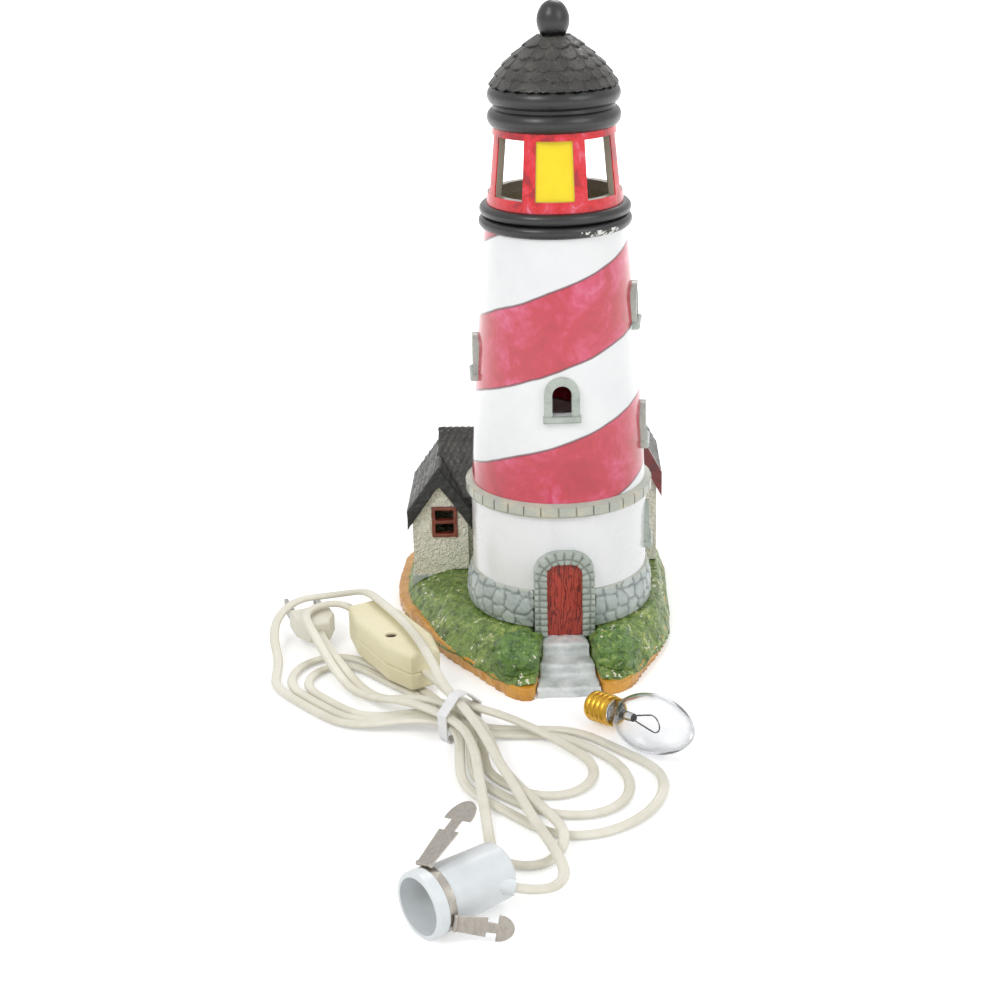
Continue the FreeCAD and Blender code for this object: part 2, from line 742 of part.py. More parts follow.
def socket_parts():
    """The holder with its screw shell, contact, clip band and two wings."""
    end = socket_length
    body = lathe_points([
        (socket_bore_r, 0), (socket_rim_r - 0.6, 0), (socket_rim_r, 0.6),
        (socket_rim_r, socket_rim_height), (socket_body_r, socket_rim_height),
        (socket_body_r, clip_band_z[1]), (socket_end_r, end - 1.6),
        (socket_end_r - 1.6, end), (0, end), (0, shell_bore_end),
        (shell_bore_r, shell_bore_end), (shell_bore_r, socket_bore_depth),
        (socket_bore_r, socket_bore_depth)])
    body = placed(body, socket_mouth, UP, socket_axis)
    nose = cord_point(lead_route[0])
    outward = (cord_point(lead_route[1]) - nose).normalize()
    boss = Part.makeCylinder(strain_boss_r, 6, nose - outward * 6, outward)
    core = Part.makeCylinder(shell_bore_r + 0.5, end - 2, socket_mouth, socket_axis)
    body = body.fuse(boss.cut(core))
    shell = threaded(shell_bore_r - thread_crest, shell_thickness, shell_z[0], shell_z[1],
                     4, thread_crest)
    seat = Part.makeCylinder(shell_bore_r, shell_bore_end - insulator_z, V(0, 0, insulator_z))
    tongue = Part.makeCylinder(1.9, contact_height, V(0, 0, insulator_z - contact_height))
    tongue = tongue.makeFillet(0.5, [e for e in tongue.Edges
                                     if e.BoundBox.ZMax < insulator_z - contact_height + 0.01])
    band = lathe_points([(socket_body_r, clip_band_z[0]), (clip_band_r, clip_band_z[0]),
                         (clip_band_r, clip_band_z[1]), (socket_body_r, clip_band_z[1])])
    shell, seat, tongue, band = [placed(s, socket_mouth, UP, socket_axis)
                                 for s in (shell, seat, tongue, band)]
    return body, shell, tongue, seat, band


def clip_wing(angle, lean, length, width_share):
    """A sprung wing: rolled root, shouldered blade and mushroom head."""
    out = socket_side * math.cos(math.radians(angle)) + UP * math.sin(math.radians(angle))
    across = UP * math.cos(math.radians(angle)) - socket_side * math.sin(math.radians(angle))
    along = socket_axis * math.cos(math.radians(lean)) + out * math.sin(math.radians(lean))
    roll = wing_roll_r
    root = socket_mouth + socket_axis * (sum(clip_band_z) / 2) + out * (clip_band_r + roll)
    k, run = width_share, length / wing_full_length
    shoulder, neck_end = 13.0 * run, 17.5 * run
    right = [(0, 4.0 * k), (shoulder, 5.2 * k), (shoulder, 2.6 * k), (neck_end, 2.6 * k)]
    head_low, head_high = (neck_end, 7.0 * k), (neck_end, -7.0 * k)
    plain = [V(x, y, 0) for x, y in right]
    mirrored = [V(p.x, -p.y, 0) for p in reversed(plain)]
    edges = [Part.LineSegment(a, b).toShape() for a, b in zip(plain, plain[1:])]
    low, high = V(head_low[0], head_low[1], 0), V(head_high[0], head_high[1], 0)
    edges.append(Part.LineSegment(plain[-1], low).toShape())
    edges.append(Part.Arc(low, V(length, 0, 0), high).toShape())
    edges.append(Part.LineSegment(high, mirrored[0]).toShape())
    edges += [Part.LineSegment(a, b).toShape() for a, b in zip(mirrored, mirrored[1:])]
    edges.append(Part.LineSegment(mirrored[-1], plain[0]).toShape())
    blade = Part.Face(Part.Wire(edges)).extrude(V(0, 0, wing_thickness))
    blade.translate(V(roll * 0.4, 0, -wing_thickness / 2))
    knuckle = Part.makeCylinder(roll, 7.6 * k, V(0, -3.8 * k, 0), V(0, 1, 0))
    wing = blade.fuse(knuckle)
    return placed(wing, root, along, along.cross(across)), root, across


def switch_frame(shape):
    """From the switch's own frame (long axis X, mid-plane Z=0) to the part's."""
    a, b = cord_point(feed_route[-1]), cord_point(plug_route[0])
    return placed(shape, (a + b) / 2, b - a, UP)


def switch_parts():
    a, b = cord_point(feed_route[-1]), cord_point(plug_route[0])
    half = (b - a).Length / 2
    side, tip = switch_width / 2, switch_tip_width / 2

    def outline(inset):
        reach, wide, narrow = half - inset, side - inset, tip - inset
        right = [(reach, -narrow), (reach, narrow), (half * 0.45, wide), (-half * 0.5, wide)]
        left = [(-reach, narrow), (-reach, -narrow), (-half * 0.5, -wide), (half * 0.45, -wide)]
        return face([V(x, y, 0) for x, y in right + left])

    wheel_at = V(wheel_x, wheel_r - side - wheel_out, 0)
    pit = Part.makeCylinder(wheel_r + 0.5, wheel_height + 0.6,
                            wheel_at - UP * (wheel_height / 2 + 0.3))
    post_at = V(screw_x, screw_y, 0)
    shells = []
    for sense, height in ((1, switch_top), (-1, switch_bottom)):
        shell = outline(0).extrude(V(0, 0, sense * height))
        rim = [e for e in shell.Edges if abs(e.CenterOfMass.z - sense * height) < 0.01]
        shell = shell.makeFillet(switch_round, rim)
        hollow = outline(switch_wall).extrude(V(0, 0, sense * (height - switch_wall)))
        post = Part.makeCylinder(screw_post_r, height, post_at, UP * sense)
        pin = Part.makeCylinder(wheel_pin_r, height, wheel_at, UP * sense)
        inner = hollow.cut(post).cut(pin)
        shell = shell.cut(inner).cut(pit.cut(pin))
        if sense > 0:
            shell = shell.cut(Part.makeCylinder(screw_head_r + 0.3, screw_sunk + 0.1,
                                                post_at + UP * (height - screw_sunk)))
            shell = shell.cut(Part.makeCylinder(screw_shank_r, height, post_at))
        else:
            shell = shell.cut(Part.makeCylinder(screw_shank_r, 4, post_at - UP * 4))
        shells.append(shell)
    head_z = switch_top - screw_sunk
    screw = Part.makeCylinder(screw_head_r, 1.4, post_at + UP * head_z)
    slot = box((-0.35, 0.35), (-4, 4), (0, 0.8))
    slot.translate(post_at + UP * (head_z + 0.8))
    screw = screw.cut(slot).fuse(Part.makeCylinder(screw_shank_r, head_z + 3.8,
                                                   post_at - UP * 3.8))
    wheel = Part.makeCylinder(wheel_r, wheel_height, V(0, 0, -wheel_height / 2))
    notch = Part.makeCylinder(0.55, wheel_height, V(wheel_r + 0.1, 0, -wheel_height / 2))
    notches = [turned(notch, 360 * i / wheel_notches) for i in range(wheel_notches)]
    wheel = wheel.cut(Part.makeCompound(notches)).cut(
        Part.makeCylinder(wheel_pin_r + wheel_pin_gap, wheel_height,
                          V(0, 0, -wheel_height / 2)))
    wheel.translate(wheel_at)
    strip = box((-contact_reach, contact_reach), (-2.0, 2.0), (0, 0.6))
    strip = strip.cut(Part.makeCylinder(wheel_pin_r, 2, wheel_at - UP, UP))
    strip.translate(V(0, 0, wheel_height / 2 + 0.3))
    post_clear = Part.makeCylinder(screw_post_r, 9, post_at - UP * 4)
    strip = strip.cut(post_clear)
    riser = box((contact_reach, contact_reach + 0.6), (-2.0, 2.0), (-switch_bottom + switch_wall,
                wheel_height / 2 + 0.9))
    contacts = strip.fuse(riser)
    return [switch_frame(s) for s in shells + [screw, wheel, pieces(contacts)]]


def plug_parts():
    """Flat moulded plug and its two parallel blades."""
    nose, before = cord_point(plug_route[-1]), cord_point(plug_route[-2])
    out = V(nose.x - before.x, nose.y - before.y, 0).normalize()
    narrow, wide, deep = plug_neck_width / 2, plug_width / 2, plug_length
    body = face([V(0, -narrow, 0), V(deep * 0.45, -wide, 0), V(deep, -wide, 0),
                 V(deep, wide, 0), V(deep * 0.45, wide, 0), V(0, narrow, 0)])
    body = body.extrude(V(0, 0, plug_height))
    body.translate(V(0, 0, -plug_height / 2))
    flats = [e for e in body.Edges if abs(abs(e.CenterOfMass.z) - plug_height / 2) < 0.01]
    body = body.makeFillet(1.4, flats)
    blades = []
    for side in (-1, 1):
        y = side * blade_spacing / 2
        blade = box((deep - blade_root, deep + blade_length),
                    (y - blade_thickness / 2, y + blade_thickness / 2),
                    (-blade_width / 2, blade_width / 2))
        blade = blade.makeChamfer(0.4, [e for e in blade.Edges
                                        if e.CenterOfMass.x > deep + blade_length - 0.01])
        blade = blade.cut(Part.makeCylinder(1.6, 4, V(deep + blade_length - 4, y - 2, 0),
                                            V(0, 1, 0)))
        blades.append(blade)
    blades = Part.makeCompound(blades)
    return [placed(s, nose, out, UP) for s in (body.cut(blades), blades)]


def bulb_parts():
    """Clear candelabra bulb, drawn along Z from its tip contact."""
    base_end = base_height
    shell = threaded(bulb_base_r - thread_crest, shell_thickness, 1.6, base_end - 2.0,
                     4, thread_crest)
    collar = lathe_points([(bulb_base_r - 0.5 - thread_crest, base_end - 2),
                           (bulb_base_r - thread_crest, base_end - 2),
                           (bulb_neck_r, base_end), (bulb_neck_r - 0.5, base_end)])
    shell = shell.fuse(collar)
    insulator = lathe_points([(1.8, 0), (2.6, 0), (bulb_base_r - thread_crest - 0.5, 1.6),
                              (bulb_base_r - thread_crest - 0.5, 3.0), (1.8, 3.0)])
    contact = lathe([arc((0, -0.9), (1.3, -0.6), (1.8, 0)), line((1.8, 0), (1.8, 1.6)),
                     line((1.8, 1.6), (0, 1.6)), line((0, 1.6), (0, -0.9))])
    outer = bulb_curve(0)
    inner = bulb_curve(glass_thickness)
    neck = bulb_neck_r - 0.5 - glass_gap
    neck_in = neck - glass_thickness
    glass = Part.Face(Part.Wire([
        outer, line((0, bulb_length), (0, bulb_length - glass_thickness * 1.6)), inner,
        line((neck_in, glass_foot), (neck, glass_foot))])).revolve(V(), UP, 360)
    stem_foot_r = neck_in - glass_gap
    stem = lathe_points([(0, glass_foot), (stem_foot_r, glass_foot), (stem_foot_r, glass_foot + 1.2),
                         (1.9, glass_foot + 5), (1.6, stem_top), (0, stem_top)])
    wires, tops = [], []
    for side in (-1, 1):
        low = V(side * 0.9, 0, stem_top)
        high = V(side * filament_half, 0, filament_z)
        way = high - low
        wires.append(Part.makeCylinder(wire_r, way.Length, low, way))
        tops.append(high)
    crown = V(0, 0, filament_z + filament_rise)
    path = Part.Wire([Part.Arc(tops[0], crown, tops[1]).toShape()])
    ring = Part.Wire([Part.makeCircle(filament_r, tops[0],
                                      path.Edges[0].tangentAt(path.Edges[0].FirstParameter))])
    filament = path.makePipeShell([ring], True, False)
    shapes = [glass, shell, insulator, contact, stem, Part.makeCompound(wires), filament]
    return [placed(s, bulb_foot, UP, bulb_axis) for s in shapes]


def bulb_curve(inset):
    """Half outline of the glass from its neck to its point."""
    neck = bulb_neck_r - 0.5 - glass_gap - inset
    tip = bulb_length - inset * 1.6
    points = [V(neck, 0, glass_foot), V(neck + 0.3, 0, glass_foot + 3),
              V(glass_r * 0.78 - inset, 0, glass_foot + 10), V(glass_r - inset, 0, glass_wide_z),
              V(glass_r * 0.86 - inset, 0, glass_wide_z + 10),
              V(glass_r * 0.42 - inset * 0.8, 0, glass_wide_z + 18.5), V(0, 0, tip)]
    curve = Part.BSplineCurve()
    curve.interpolate(Points=points)
    return curve.toShape()


# ----------------------------------------------------------------------- cord
def cord_point(p):
    """A point of the bundle's plan (along, across, height) in the part's frame."""
    return bundle_tie + bundle_along * p[0] + bundle_across * p[1] + UP * p[2]


def hexagon(centre, direction):
    """Section of the cord at a point of its run."""
    side = UP.cross(direction).normalize()
    top = direction.cross(side).normalize()
    corners = [centre + side * (cord_r * math.cos(math.pi * i / 3))
               + top * (cord_r * math.sin(math.pi * i / 3)) for i in range(6)]
    return Part.makePolygon(corners + [corners[0]])


def tube(edges, start, direction):
    return Part.Wire(edges).makePipeShell([hexagon(start, direction)], True, False)


def rounded_route(points):
    """Straight runs joined by arcs that touch both of their neighbours."""
    points = [cord_point(p) for p in points]
    edges, here, least = [], points[0], 1e9
    for before, corner, after in zip(points, points[1:], points[2:]):
        a, b = corner - before, after - corner
        turn = a.getAngle(b)
        reach = 0.45 * min(a.Length, b.Length)
        radius = reach / math.tan(turn / 2)
        least = min(least, radius)
        a.normalize()
        b.normalize()
        first, last = corner - a * reach, corner + b * reach
        inward = (b - a).normalize()
        middle = corner + inward * (radius / math.cos(turn / 2) - radius)
        edges.append(Part.LineSegment(here, first).toShape())
        edges.append(Part.Arc(first, middle, last).toShape())
        here = last
    edges.append(Part.LineSegment(here, points[-1]).toShape())
    return edges, points[0], points[1] - points[0], least


def hank_point(lobe, t, upper):
    """One side of a loop of the hank, t from 0 at the tie to 1 at its far end.

    Each loop leaves the tie in its own slot, swells to its own half width and
    closes in a round end.  Loops on one side share a middle line, so that they
    lie inside one another.
    """
    side, reach, wide, end, top_slot, low_slot = hank_loops[lobe]
    slot = (top_slot if upper else -low_slot) * slot_pitch
    straight = reach - end
    if t < 0.6:
        u, taper = straight * t / 0.6, 1.0
    else:
        sweep = (t - 0.6) / 0.4 * math.pi / 2
        u, taper = straight + end * math.sin(sweep), math.cos(sweep)
    swell = loop_swell[side]
    grown = math.sin(math.pi / 2 * min(1, u / swell)) ** 2
    half = (slot + (wide - slot) * grown) * taper
    if side > 0:
        middle = right_sweep[0] * math.sin(math.pi / 2 * u / right_sweep[1]) ** 2
        middle -= right_sweep[2] * (u / 88) ** 2
    else:
        middle = left_sweep[0] * (u / 105) ** 3
        middle -= 5 * math.sin(math.pi / 2 * min(1, u / 50)) ** 2
    z = cord_rest_z + tie_lift / (1 + (u / 14) ** 6)
    if not upper:
        z += layer / (1 + (u / 25) ** 6)
    if lobe == len(hank_loops) - 1 and upper:
        z += 2 * layer / (1 + (u / 25) ** 4)
    return cord_point((side * u, middle + (half if upper else -half), z))


def hank_path():
    """Loops in the order in which the cord runs through them."""
    steps = hank_steps
    first = [hank_point(0, hank_start * (1 - j / steps), False) for j in range(steps)]
    points = first
    for lobe, upper_first in zip(range(1, len(hank_loops)), (False, True, False, True, False)):
        points += [hank_point(lobe, j / steps, upper_first) for j in range(steps)]
        points += [hank_point(lobe, 1 - j / steps, not upper_first) for j in range(steps)]
    points.append(hank_point(len(hank_loops) - 1, 0, True))
    return points


def biarcs(points, first_direction, last_direction):
    """Pairs of arcs through the points, smooth at every join."""
    tangents = [first_direction]
    tangents += [(c - a).normalize() for a, c in zip(points, points[2:])]
    tangents.append(last_direction)
    edges, least = [], 1e9
    for p, q, s, t in zip(points, points[1:], tangents, tangents[1:]):
        way = q - p
        a, b, c = 2 * (s.dot(t) - 1), -2 * way.dot(s + t), way.dot(way)
        if abs(a) < 1e-9:
            d = -c / b
        else:
            root = math.sqrt(b * b - 4 * a * c)
            d = min(x for x in ((-b - root) / (2 * a), (-b + root) / (2 * a)) if x > 0)
        low, high = p + s * d, q - t * d
        join = (low + high) / 2
        for begin, corner, finish in ((p, low, join), (join, high, q)):
            chord = (finish - begin) / 2
            up = corner - (begin + finish) / 2
            if up.Length < 1e-4:
                edges.append(Part.LineSegment(begin, finish).toShape())
                continue
            bend = math.atan2(up.Length, chord.Length)
            least = min(least, chord.Length / math.sin(bend))
            middle = (begin + finish) / 2 + up * (chord.Length * math.tan(bend / 2) / up.Length)
            edges.append(Part.Arc(begin, middle, finish).toShape())
    return edges, least


def least_gap(edges, apart):
    """Least distance between two stretches of the tube, less its diameter."""
    dots, run = [], 0.0
    for edge in edges:
        count = max(1, int(edge.Length / 1.5))
        a, b = edge.FirstParameter, edge.LastParameter
        for i in range(count):
            p = edge.valueAt(a + (b - a) * i / count)
            dots.append((run + edge.Length * i / count, p.x, p.y, p.z))
        run += edge.Length
    least = 1e9
    for i, (s, x, y, z) in enumerate(dots):
        for other, ox, oy, oz in dots[i + 1:]:
            if other - s > apart:
                gap = (x - ox) ** 2 + (y - oy) ** 2 + (z - oz) ** 2
                least = min(least, gap)
    return math.sqrt(least) - 2 * cord_r


def make_cords():
    """The wound hank and the three free stretches of the light set's cord."""
    shapes = {}
    points = hank_path()
    start = (points[0] - cord_point(lead_route[-2])).normalize()
    finish = (cord_point(feed_route[1]) - points[-1]).normalize()
    edges, least = biarcs(points, start, finish)
    shapes["cord_hank"] = tube(edges, points[0], start)
    total = sum(e.Length for e in edges)
    print("hank: length %.0f, least radius %.1f, least gap to itself %.2f"
          % (total, least, least_gap(edges, 14)))
    routes = {"cord_socket_lead": lead_route, "cord_switch_feed": feed_route,
              "cord_switch_to_plug": plug_route}
    for name, route in routes.items():
        edges, first, way, least = rounded_route(route)
        shapes[name] = tube(edges, first, way.normalize())
        length = sum(e.Length for e in edges)
        total += length
        print("%s: length %.0f, least radius %.1f" % (name, length, least))
    print("whole cord: %.0f" % total)
    return shapes


def make_tie():
    """Paper-covered wire strap round the bundle, with its twisted tail."""
    inner = [V(-tie_width / 2, y, z) for y, z in tie_outline]
    wire = Part.makePolygon(inner + [inner[0]])
    outer = Part.Face(wire.makeOffset2D(tie_thickness))
    strap = outer.cut(Part.Face(wire)).extrude(V(tie_width, 0, 0))
    y, z = tie_outline[tie_corner]
    root = V(0, y, z + tie_thickness)
    tail = Part.Wire([Part.LineSegment(root, root + V(-1.5, 5, 3.5)).toShape(),
                      Part.LineSegment(root + V(-1.5, 5, 3.5), root + tie_tail).toShape()])
    section = Part.makePolygon([root + V(x, 0, h) for x, h in
                                ((-1, -0.3), (1, -0.3), (1, 0.5), (-1, 0.5), (-1, -0.3))])
    strap = strap.fuse(tail.makePipeShell([section], True, False, 2))
    return placed(strap, bundle_tie, bundle_along, UP)


# ------------------------------------------------------------------- assembly
def build():
    nodes = {}
    outside = tower_outside()
    slab, mound, steps = make_slab(), make_mound(), make_steps()
    band, surround, leaf = make_door()
    inside = Part.makeCylinder(drum_r - wall, crown_z, V(0, 0, slab_height))
    way_x, way_foot, way_head = light_way
    light_gap = box((-way_x / 2, way_x / 2), (20, 45), (way_foot, way_head))

    footing, walls, window, left_roof, boards = left_wing()
    middle_walls, middle_top = middle_range()
    right_walls, right_top, right_boards = right_wing()
    right_centre = sum(right_wing_x) / 2
    right_half = (right_wing_x[1] - right_wing_x[0]) / 2
    right_mass = gabled_block(right_centre, right_half, crown_z, right_wing_eave_z,
                              right_slope, right_wing_y, "y").fuse(right_top)
    middle_centre, middle_half = sum(middle_y) / 2, (middle_y[1] - middle_y[0]) / 2
    middle_mass = gabled_block(middle_centre, middle_half, crown_z, middle_eave_z,
                               middle_slope, (sum(left_wing_x) / 2, right_wing_x[0]),
                               "x").fuse(middle_top)
    left_mass = gabled_block(sum(left_wing_x) / 2, (left_wing_x[1] - left_wing_x[0]) / 2,
                             left_wing_foot_z, left_wing_eave_z, wing_slope,
                             left_wing_y, "y")

    way = make_way()
    bushes = {"bush_left": make_bush(bush_left), "bush_right": make_bush(bush_right)}
    for name, shape in bushes.items():
        nodes[name] = pieces(shape.cut(mound).cut(way).cut(outside).cut(band))
    nodes["front_steps"] = pieces(steps)
    nodes["base_slab"] = slab.cut(way)
    footing = footing.cut(mound).cut(slab)
    nodes["left_wing_foundation"] = pieces(footing)
    nodes["grass_mound"] = pieces(mound.cut(way).cut(band).cut(inside))

    doorway = band
    plinth = make_plinth().cut(doorway).cut(light_gap)
    drum = make_drum().cut(doorway).cut(light_gap)
    shaft = make_shaft()
    for name in tower_window_places:
        hole, frame = tower_window(name, outside)
        shaft, drum = shaft.cut(hole), drum.cut(hole)
        nodes["window_surround_" + name] = frame
    nodes["fieldstone_plinth"] = pieces(plinth)
    nodes["tower_lower_drum"] = pieces(drum)
    nodes["stone_ledge"] = pieces(make_ledge())
    nodes["tower_shaft"] = pieces(shaft)
    nodes["door_surround"] = pieces(surround)
    nodes["door_leaf"] = pieces(leaf)

    nodes["gallery_lower_bead"] = bead_ring(gallery_lower_r, gallery_lower_z,
                                            gallery_bead_half, gallery_bead_out,
                                            gallery_hole_r)
    nodes["gallery_upper_bead"] = bead_ring(gallery_upper_r, gallery_upper_z,
                                            gallery_bead_half, gallery_bead_out,
                                            gallery_hole_r)
    nodes["lantern_room"] = pieces(make_lantern())
    nodes["lantern_pane"] = make_pane().cut(nodes["lantern_room"])
    nodes["dome_cornice"] = make_cornice()
    nodes["dome_roof"] = make_dome()
    nodes["finial_ball"] = make_finial()

    nodes["left_wing_walls"] = pieces(walls.cut(outside).cut(mound))
    nodes["left_wing_window"] = pieces(window)
    nodes["left_wing_roof"] = pieces(left_roof.cut(outside).cut(middle_mass).cut(left_mass))
    nodes["left_wing_boards"] = pieces(boards.cut(outside).cut(left_mass))
    nodes["middle_walls"] = pieces(middle_walls.cut(outside).cut(plinth).cut(right_mass)
                                   .cut(mound).cut(left_mass).cut(right_boards))
    nodes["middle_roof"] = pieces(middle_top.cut(outside).cut(right_mass).cut(left_mass)
                                  .cut(right_boards).cut(walls))
    nodes["right_wing_walls"] = pieces(right_walls.cut(outside).cut(mound))
    nodes["right_wing_roof"] = pieces(right_top.cut(outside))
    nodes["right_wing_boards"] = pieces(right_boards.cut(outside).cut(right_mass))

    body, shell, tongue, seat, band = socket_parts()
    nodes["socket_housing"], nodes["socket_screw_shell"] = body, shell
    nodes["socket_centre_contact"], nodes["socket_insulator"] = tongue, seat
    nodes["socket_clip_band"] = band
    for name, values in (("upper", upper_wing), ("lower", lower_wing)):
        wing, root, across = clip_wing(*values)
        nodes["clip_wing_" + name] = wing
        print("clip_wing_%s root (%.2f, %.2f, %.2f) axis (%.4f, %.4f, %.4f)"
              % ((name,) + tuple(root) + tuple(across)))
    names = ["switch_shell_top", "switch_shell_bottom", "switch_screw",
             "switch_thumbwheel", "switch_contacts"]
    nodes.update(zip(names, switch_parts()))
    nodes["plug_body"], nodes["plug_blades"] = plug_parts()
    names = ["bulb_glass", "bulb_screw_base", "bulb_insulator", "bulb_tip_contact",
             "bulb_stem", "bulb_support_wires", "bulb_filament"]
    nodes.update(zip(names, bulb_parts()))
    nodes.update(make_cords())
    nodes["twist_tie"] = make_tie()
    return nodes


def make_cornice():
    """Two fat beads with a narrow hollow between them."""
    low, high = cornice_lower_z, cornice_upper_z
    half, out = cornice_bead_half, cornice_bead_out
    inner = cornice_hole_r
    a, b = cornice_lower_r, cornice_upper_r
    return lathe([
        line((inner, low - half), (a - out, low - half)),
        arc((a - out, low - half), (a, low), (a - out, low + half)),
        line((a - out, low + half), (b - out, high - half)),
        arc((b - out, high - half), (b, high), (b - out, high + half)),
        line((b - out, high + half), (inner, high + half)),
        line((inner, high + half), (inner, low - half))])


os.makedirs("parts", exist_ok=True)
for node, shape in build().items():
    if not shape.isValid() or shape.Volume <= 0:
        print("CHECK", node, shape.isValid(), shape.Volume)
    shape.exportStep("parts/%s.step" % node)
    box_ = shape.BoundBox
    print("%-26s solids %d  faces %4d  z %6.1f .. %6.1f"
          % (node, len(shape.Solids), len(shape.Faces), box_.ZMin, box_.ZMax))
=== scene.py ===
"""Looks of the painted ceramic lighthouse ornament, its light set and its bulb."""
import json
import math

import bpy
import numpy as np
from mathutils import Matrix, Vector, noise


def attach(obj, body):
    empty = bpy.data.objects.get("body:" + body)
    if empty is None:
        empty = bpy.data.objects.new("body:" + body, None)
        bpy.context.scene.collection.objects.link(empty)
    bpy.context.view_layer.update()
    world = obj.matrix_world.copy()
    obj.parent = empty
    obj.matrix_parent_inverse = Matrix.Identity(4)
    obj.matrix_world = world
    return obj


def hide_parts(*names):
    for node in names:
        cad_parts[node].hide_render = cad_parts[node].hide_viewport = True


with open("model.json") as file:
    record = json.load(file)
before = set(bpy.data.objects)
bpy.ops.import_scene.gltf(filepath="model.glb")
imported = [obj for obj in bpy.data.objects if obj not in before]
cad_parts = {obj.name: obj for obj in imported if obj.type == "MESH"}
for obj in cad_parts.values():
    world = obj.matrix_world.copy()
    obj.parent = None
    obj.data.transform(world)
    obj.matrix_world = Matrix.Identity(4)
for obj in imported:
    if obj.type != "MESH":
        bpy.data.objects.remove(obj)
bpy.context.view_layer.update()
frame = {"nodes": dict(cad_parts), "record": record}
nodes = frame["nodes"]
ORNAMENT = "ornament_and_light_set"
mm = 0.001

# ------------------------------------------------------------------ dimensions
# from part.py, in millimetres
lantern_foot, lantern_head = 183.6, 213.0
lantern_foot_r, lantern_head_r = 26.9, 23.9
dome_foot_z, dome_height, dome_foot_r, dome_head_r = 228.6, 18.2, 24.4, 6.6
door_turn = math.radians(3.0)
band_rise, band_share, band_crest, band_sway = 61.3, 0.515, 154.4, 1.5


# ------------------------------------------------------------ colour and nodes
def rgb(red, green, blue):
    """A painted colour, written as it looks on a screen, in Blender's scale."""
    def straight(c):
        c /= 255
        return c / 12.92 if c <= 0.04045 else ((c + 0.055) / 1.055) ** 2.4
    return (straight(red), straight(green), straight(blue), 1.0)


class Nodes:
    """The nodes of one material or group, with short words for common ones."""

    def __init__(self, tree):
        self.tree = tree

    def add(self, kind, values=None, **settings):
        node = self.tree.nodes.new("ShaderNode" + kind)
        for key, value in settings.items():
            setattr(node, key, value)
        for key, value in (values or {}).items():
            self.put(node.inputs[key], value)
        return node

    def put(self, socket, value):
        if isinstance(value, bpy.types.NodeSocket):
            self.tree.links.new(value, socket)
        else:
            socket.default_value = value

    def math(self, operation, a, b=0.0):
        return self.add("Math", {0: a, 1: b}, operation=operation).outputs[0]

    def step(self, value, low, high, out_low=0.0, out_high=1.0):
        """Smooth change from out_low to out_high as value goes from low to high."""
        node = self.add("MapRange", {"Value": value, "From Min": low, "From Max": high,
                                     "To Min": out_low, "To Max": out_high},
                        interpolation_type="SMOOTHSTEP")
        return node.outputs[0]

    def mix(self, share, a, b):
        node = self.add("Mix", data_type="RGBA")
        self.put(node.inputs[0], share)
        self.put(node.inputs[6], a)
        self.put(node.inputs[7], b)
        return node.outputs[2]

    def shades(self, value, *stops):
        """A colour that runs through stops, each a place and a painted colour."""
        node = self.add("ValToRGB", {0: value})
        elements = node.color_ramp.elements
        for element, (at, colour) in zip(elements, (stops[0], stops[-1])):
            element.position, element.color = at, rgb(*colour)
        for at, colour in stops[1:-1]:
            elements.new(at).color = rgb(*colour)
        return node.outputs[0]

    def noise(self, vector, scale, detail=3.0, rough=0.55, distort=0.0):
        return self.add("TexNoise", {"Vector": vector, "Scale": scale, "Detail": detail,
                                     "Roughness": rough, "Distortion": distort}).outputs[0]

    def place(self):
        return self.add("TexCoord").outputs["Object"]

    def split(self, vector):
        return self.add("SeparateXYZ", {0: vector}).outputs


def new_group(name, takes, gives):
    """An empty node group, its Nodes, and its inputs and its output node."""
    tree = bpy.data.node_groups.new(name, "ShaderNodeTree")
    for label, kind, start in takes:
        socket = tree.interface.new_socket(label, in_out="INPUT", socket_type=kind)
        if start is not None:
            socket.default_value = start
    for label, kind in gives:
        tree.interface.new_socket(label, in_out="OUTPUT", socket_type=kind)
    return tree, Nodes(tree), tree.nodes.new("NodeGroupInput").outputs, \
        tree.nodes.new("NodeGroupOutput").inputs


NUMBER, COLOUR = "NodeSocketFloat", "NodeSocketColor"


def wrap_group():
    """Place on the tower: share of a turn, height and radius."""
    tree, n, _, out = new_group("tower wrap", [], [("Turn", NUMBER), ("Height", NUMBER),
                                                  ("Radius", NUMBER)])
    x, y, z = n.split(n.place())
    # zero at the front, growing to the right of the door
    angle = n.math("ARCTAN2", x, n.math("MULTIPLY", y, -1.0))
    radius = n.math("SQRT", n.math("ADD", n.math("MULTIPLY", x, x), n.math("MULTIPLY", y, y)))
    n.put(out["Turn"], n.math("DIVIDE", angle, 2 * math.pi))
    n.put(out["Height"], z)
    n.put(out["Radius"], radius)
    return tree


def brush_group():
    """Hand-brushed glaze: uneven colour in soft patches and fine strokes."""
    tree, n, take, out = new_group(
        "brushed glaze",
        [("Colour", COLOUR, None), ("Shade", COLOUR, None), ("Size", NUMBER, 60.0),
         ("Strength", NUMBER, 0.5)], [("Colour", COLOUR), ("Height", NUMBER)])
    place = n.place()
    patches = n.noise(place, take["Size"], 4.0, 0.6, 0.4)
    strokes = n.noise(place, n.math("MULTIPLY", take["Size"], 7.0), 3.0)
    share = n.math("MULTIPLY", n.step(patches, 0.38, 0.72), take["Strength"])
    fine = n.math("MULTIPLY", n.step(strokes, 0.45, 0.75), n.math("MULTIPLY", take["Strength"],
                                                                   0.35))
    colour = n.mix(share, take["Colour"], take["Shade"])
    n.put(out["Colour"], n.mix(fine, colour, take["Shade"]))
    n.put(out["Height"], n.math("ADD", n.math("MULTIPLY", patches, 0.6),
                                n.math("MULTIPLY", strokes, 0.4)))
    return tree


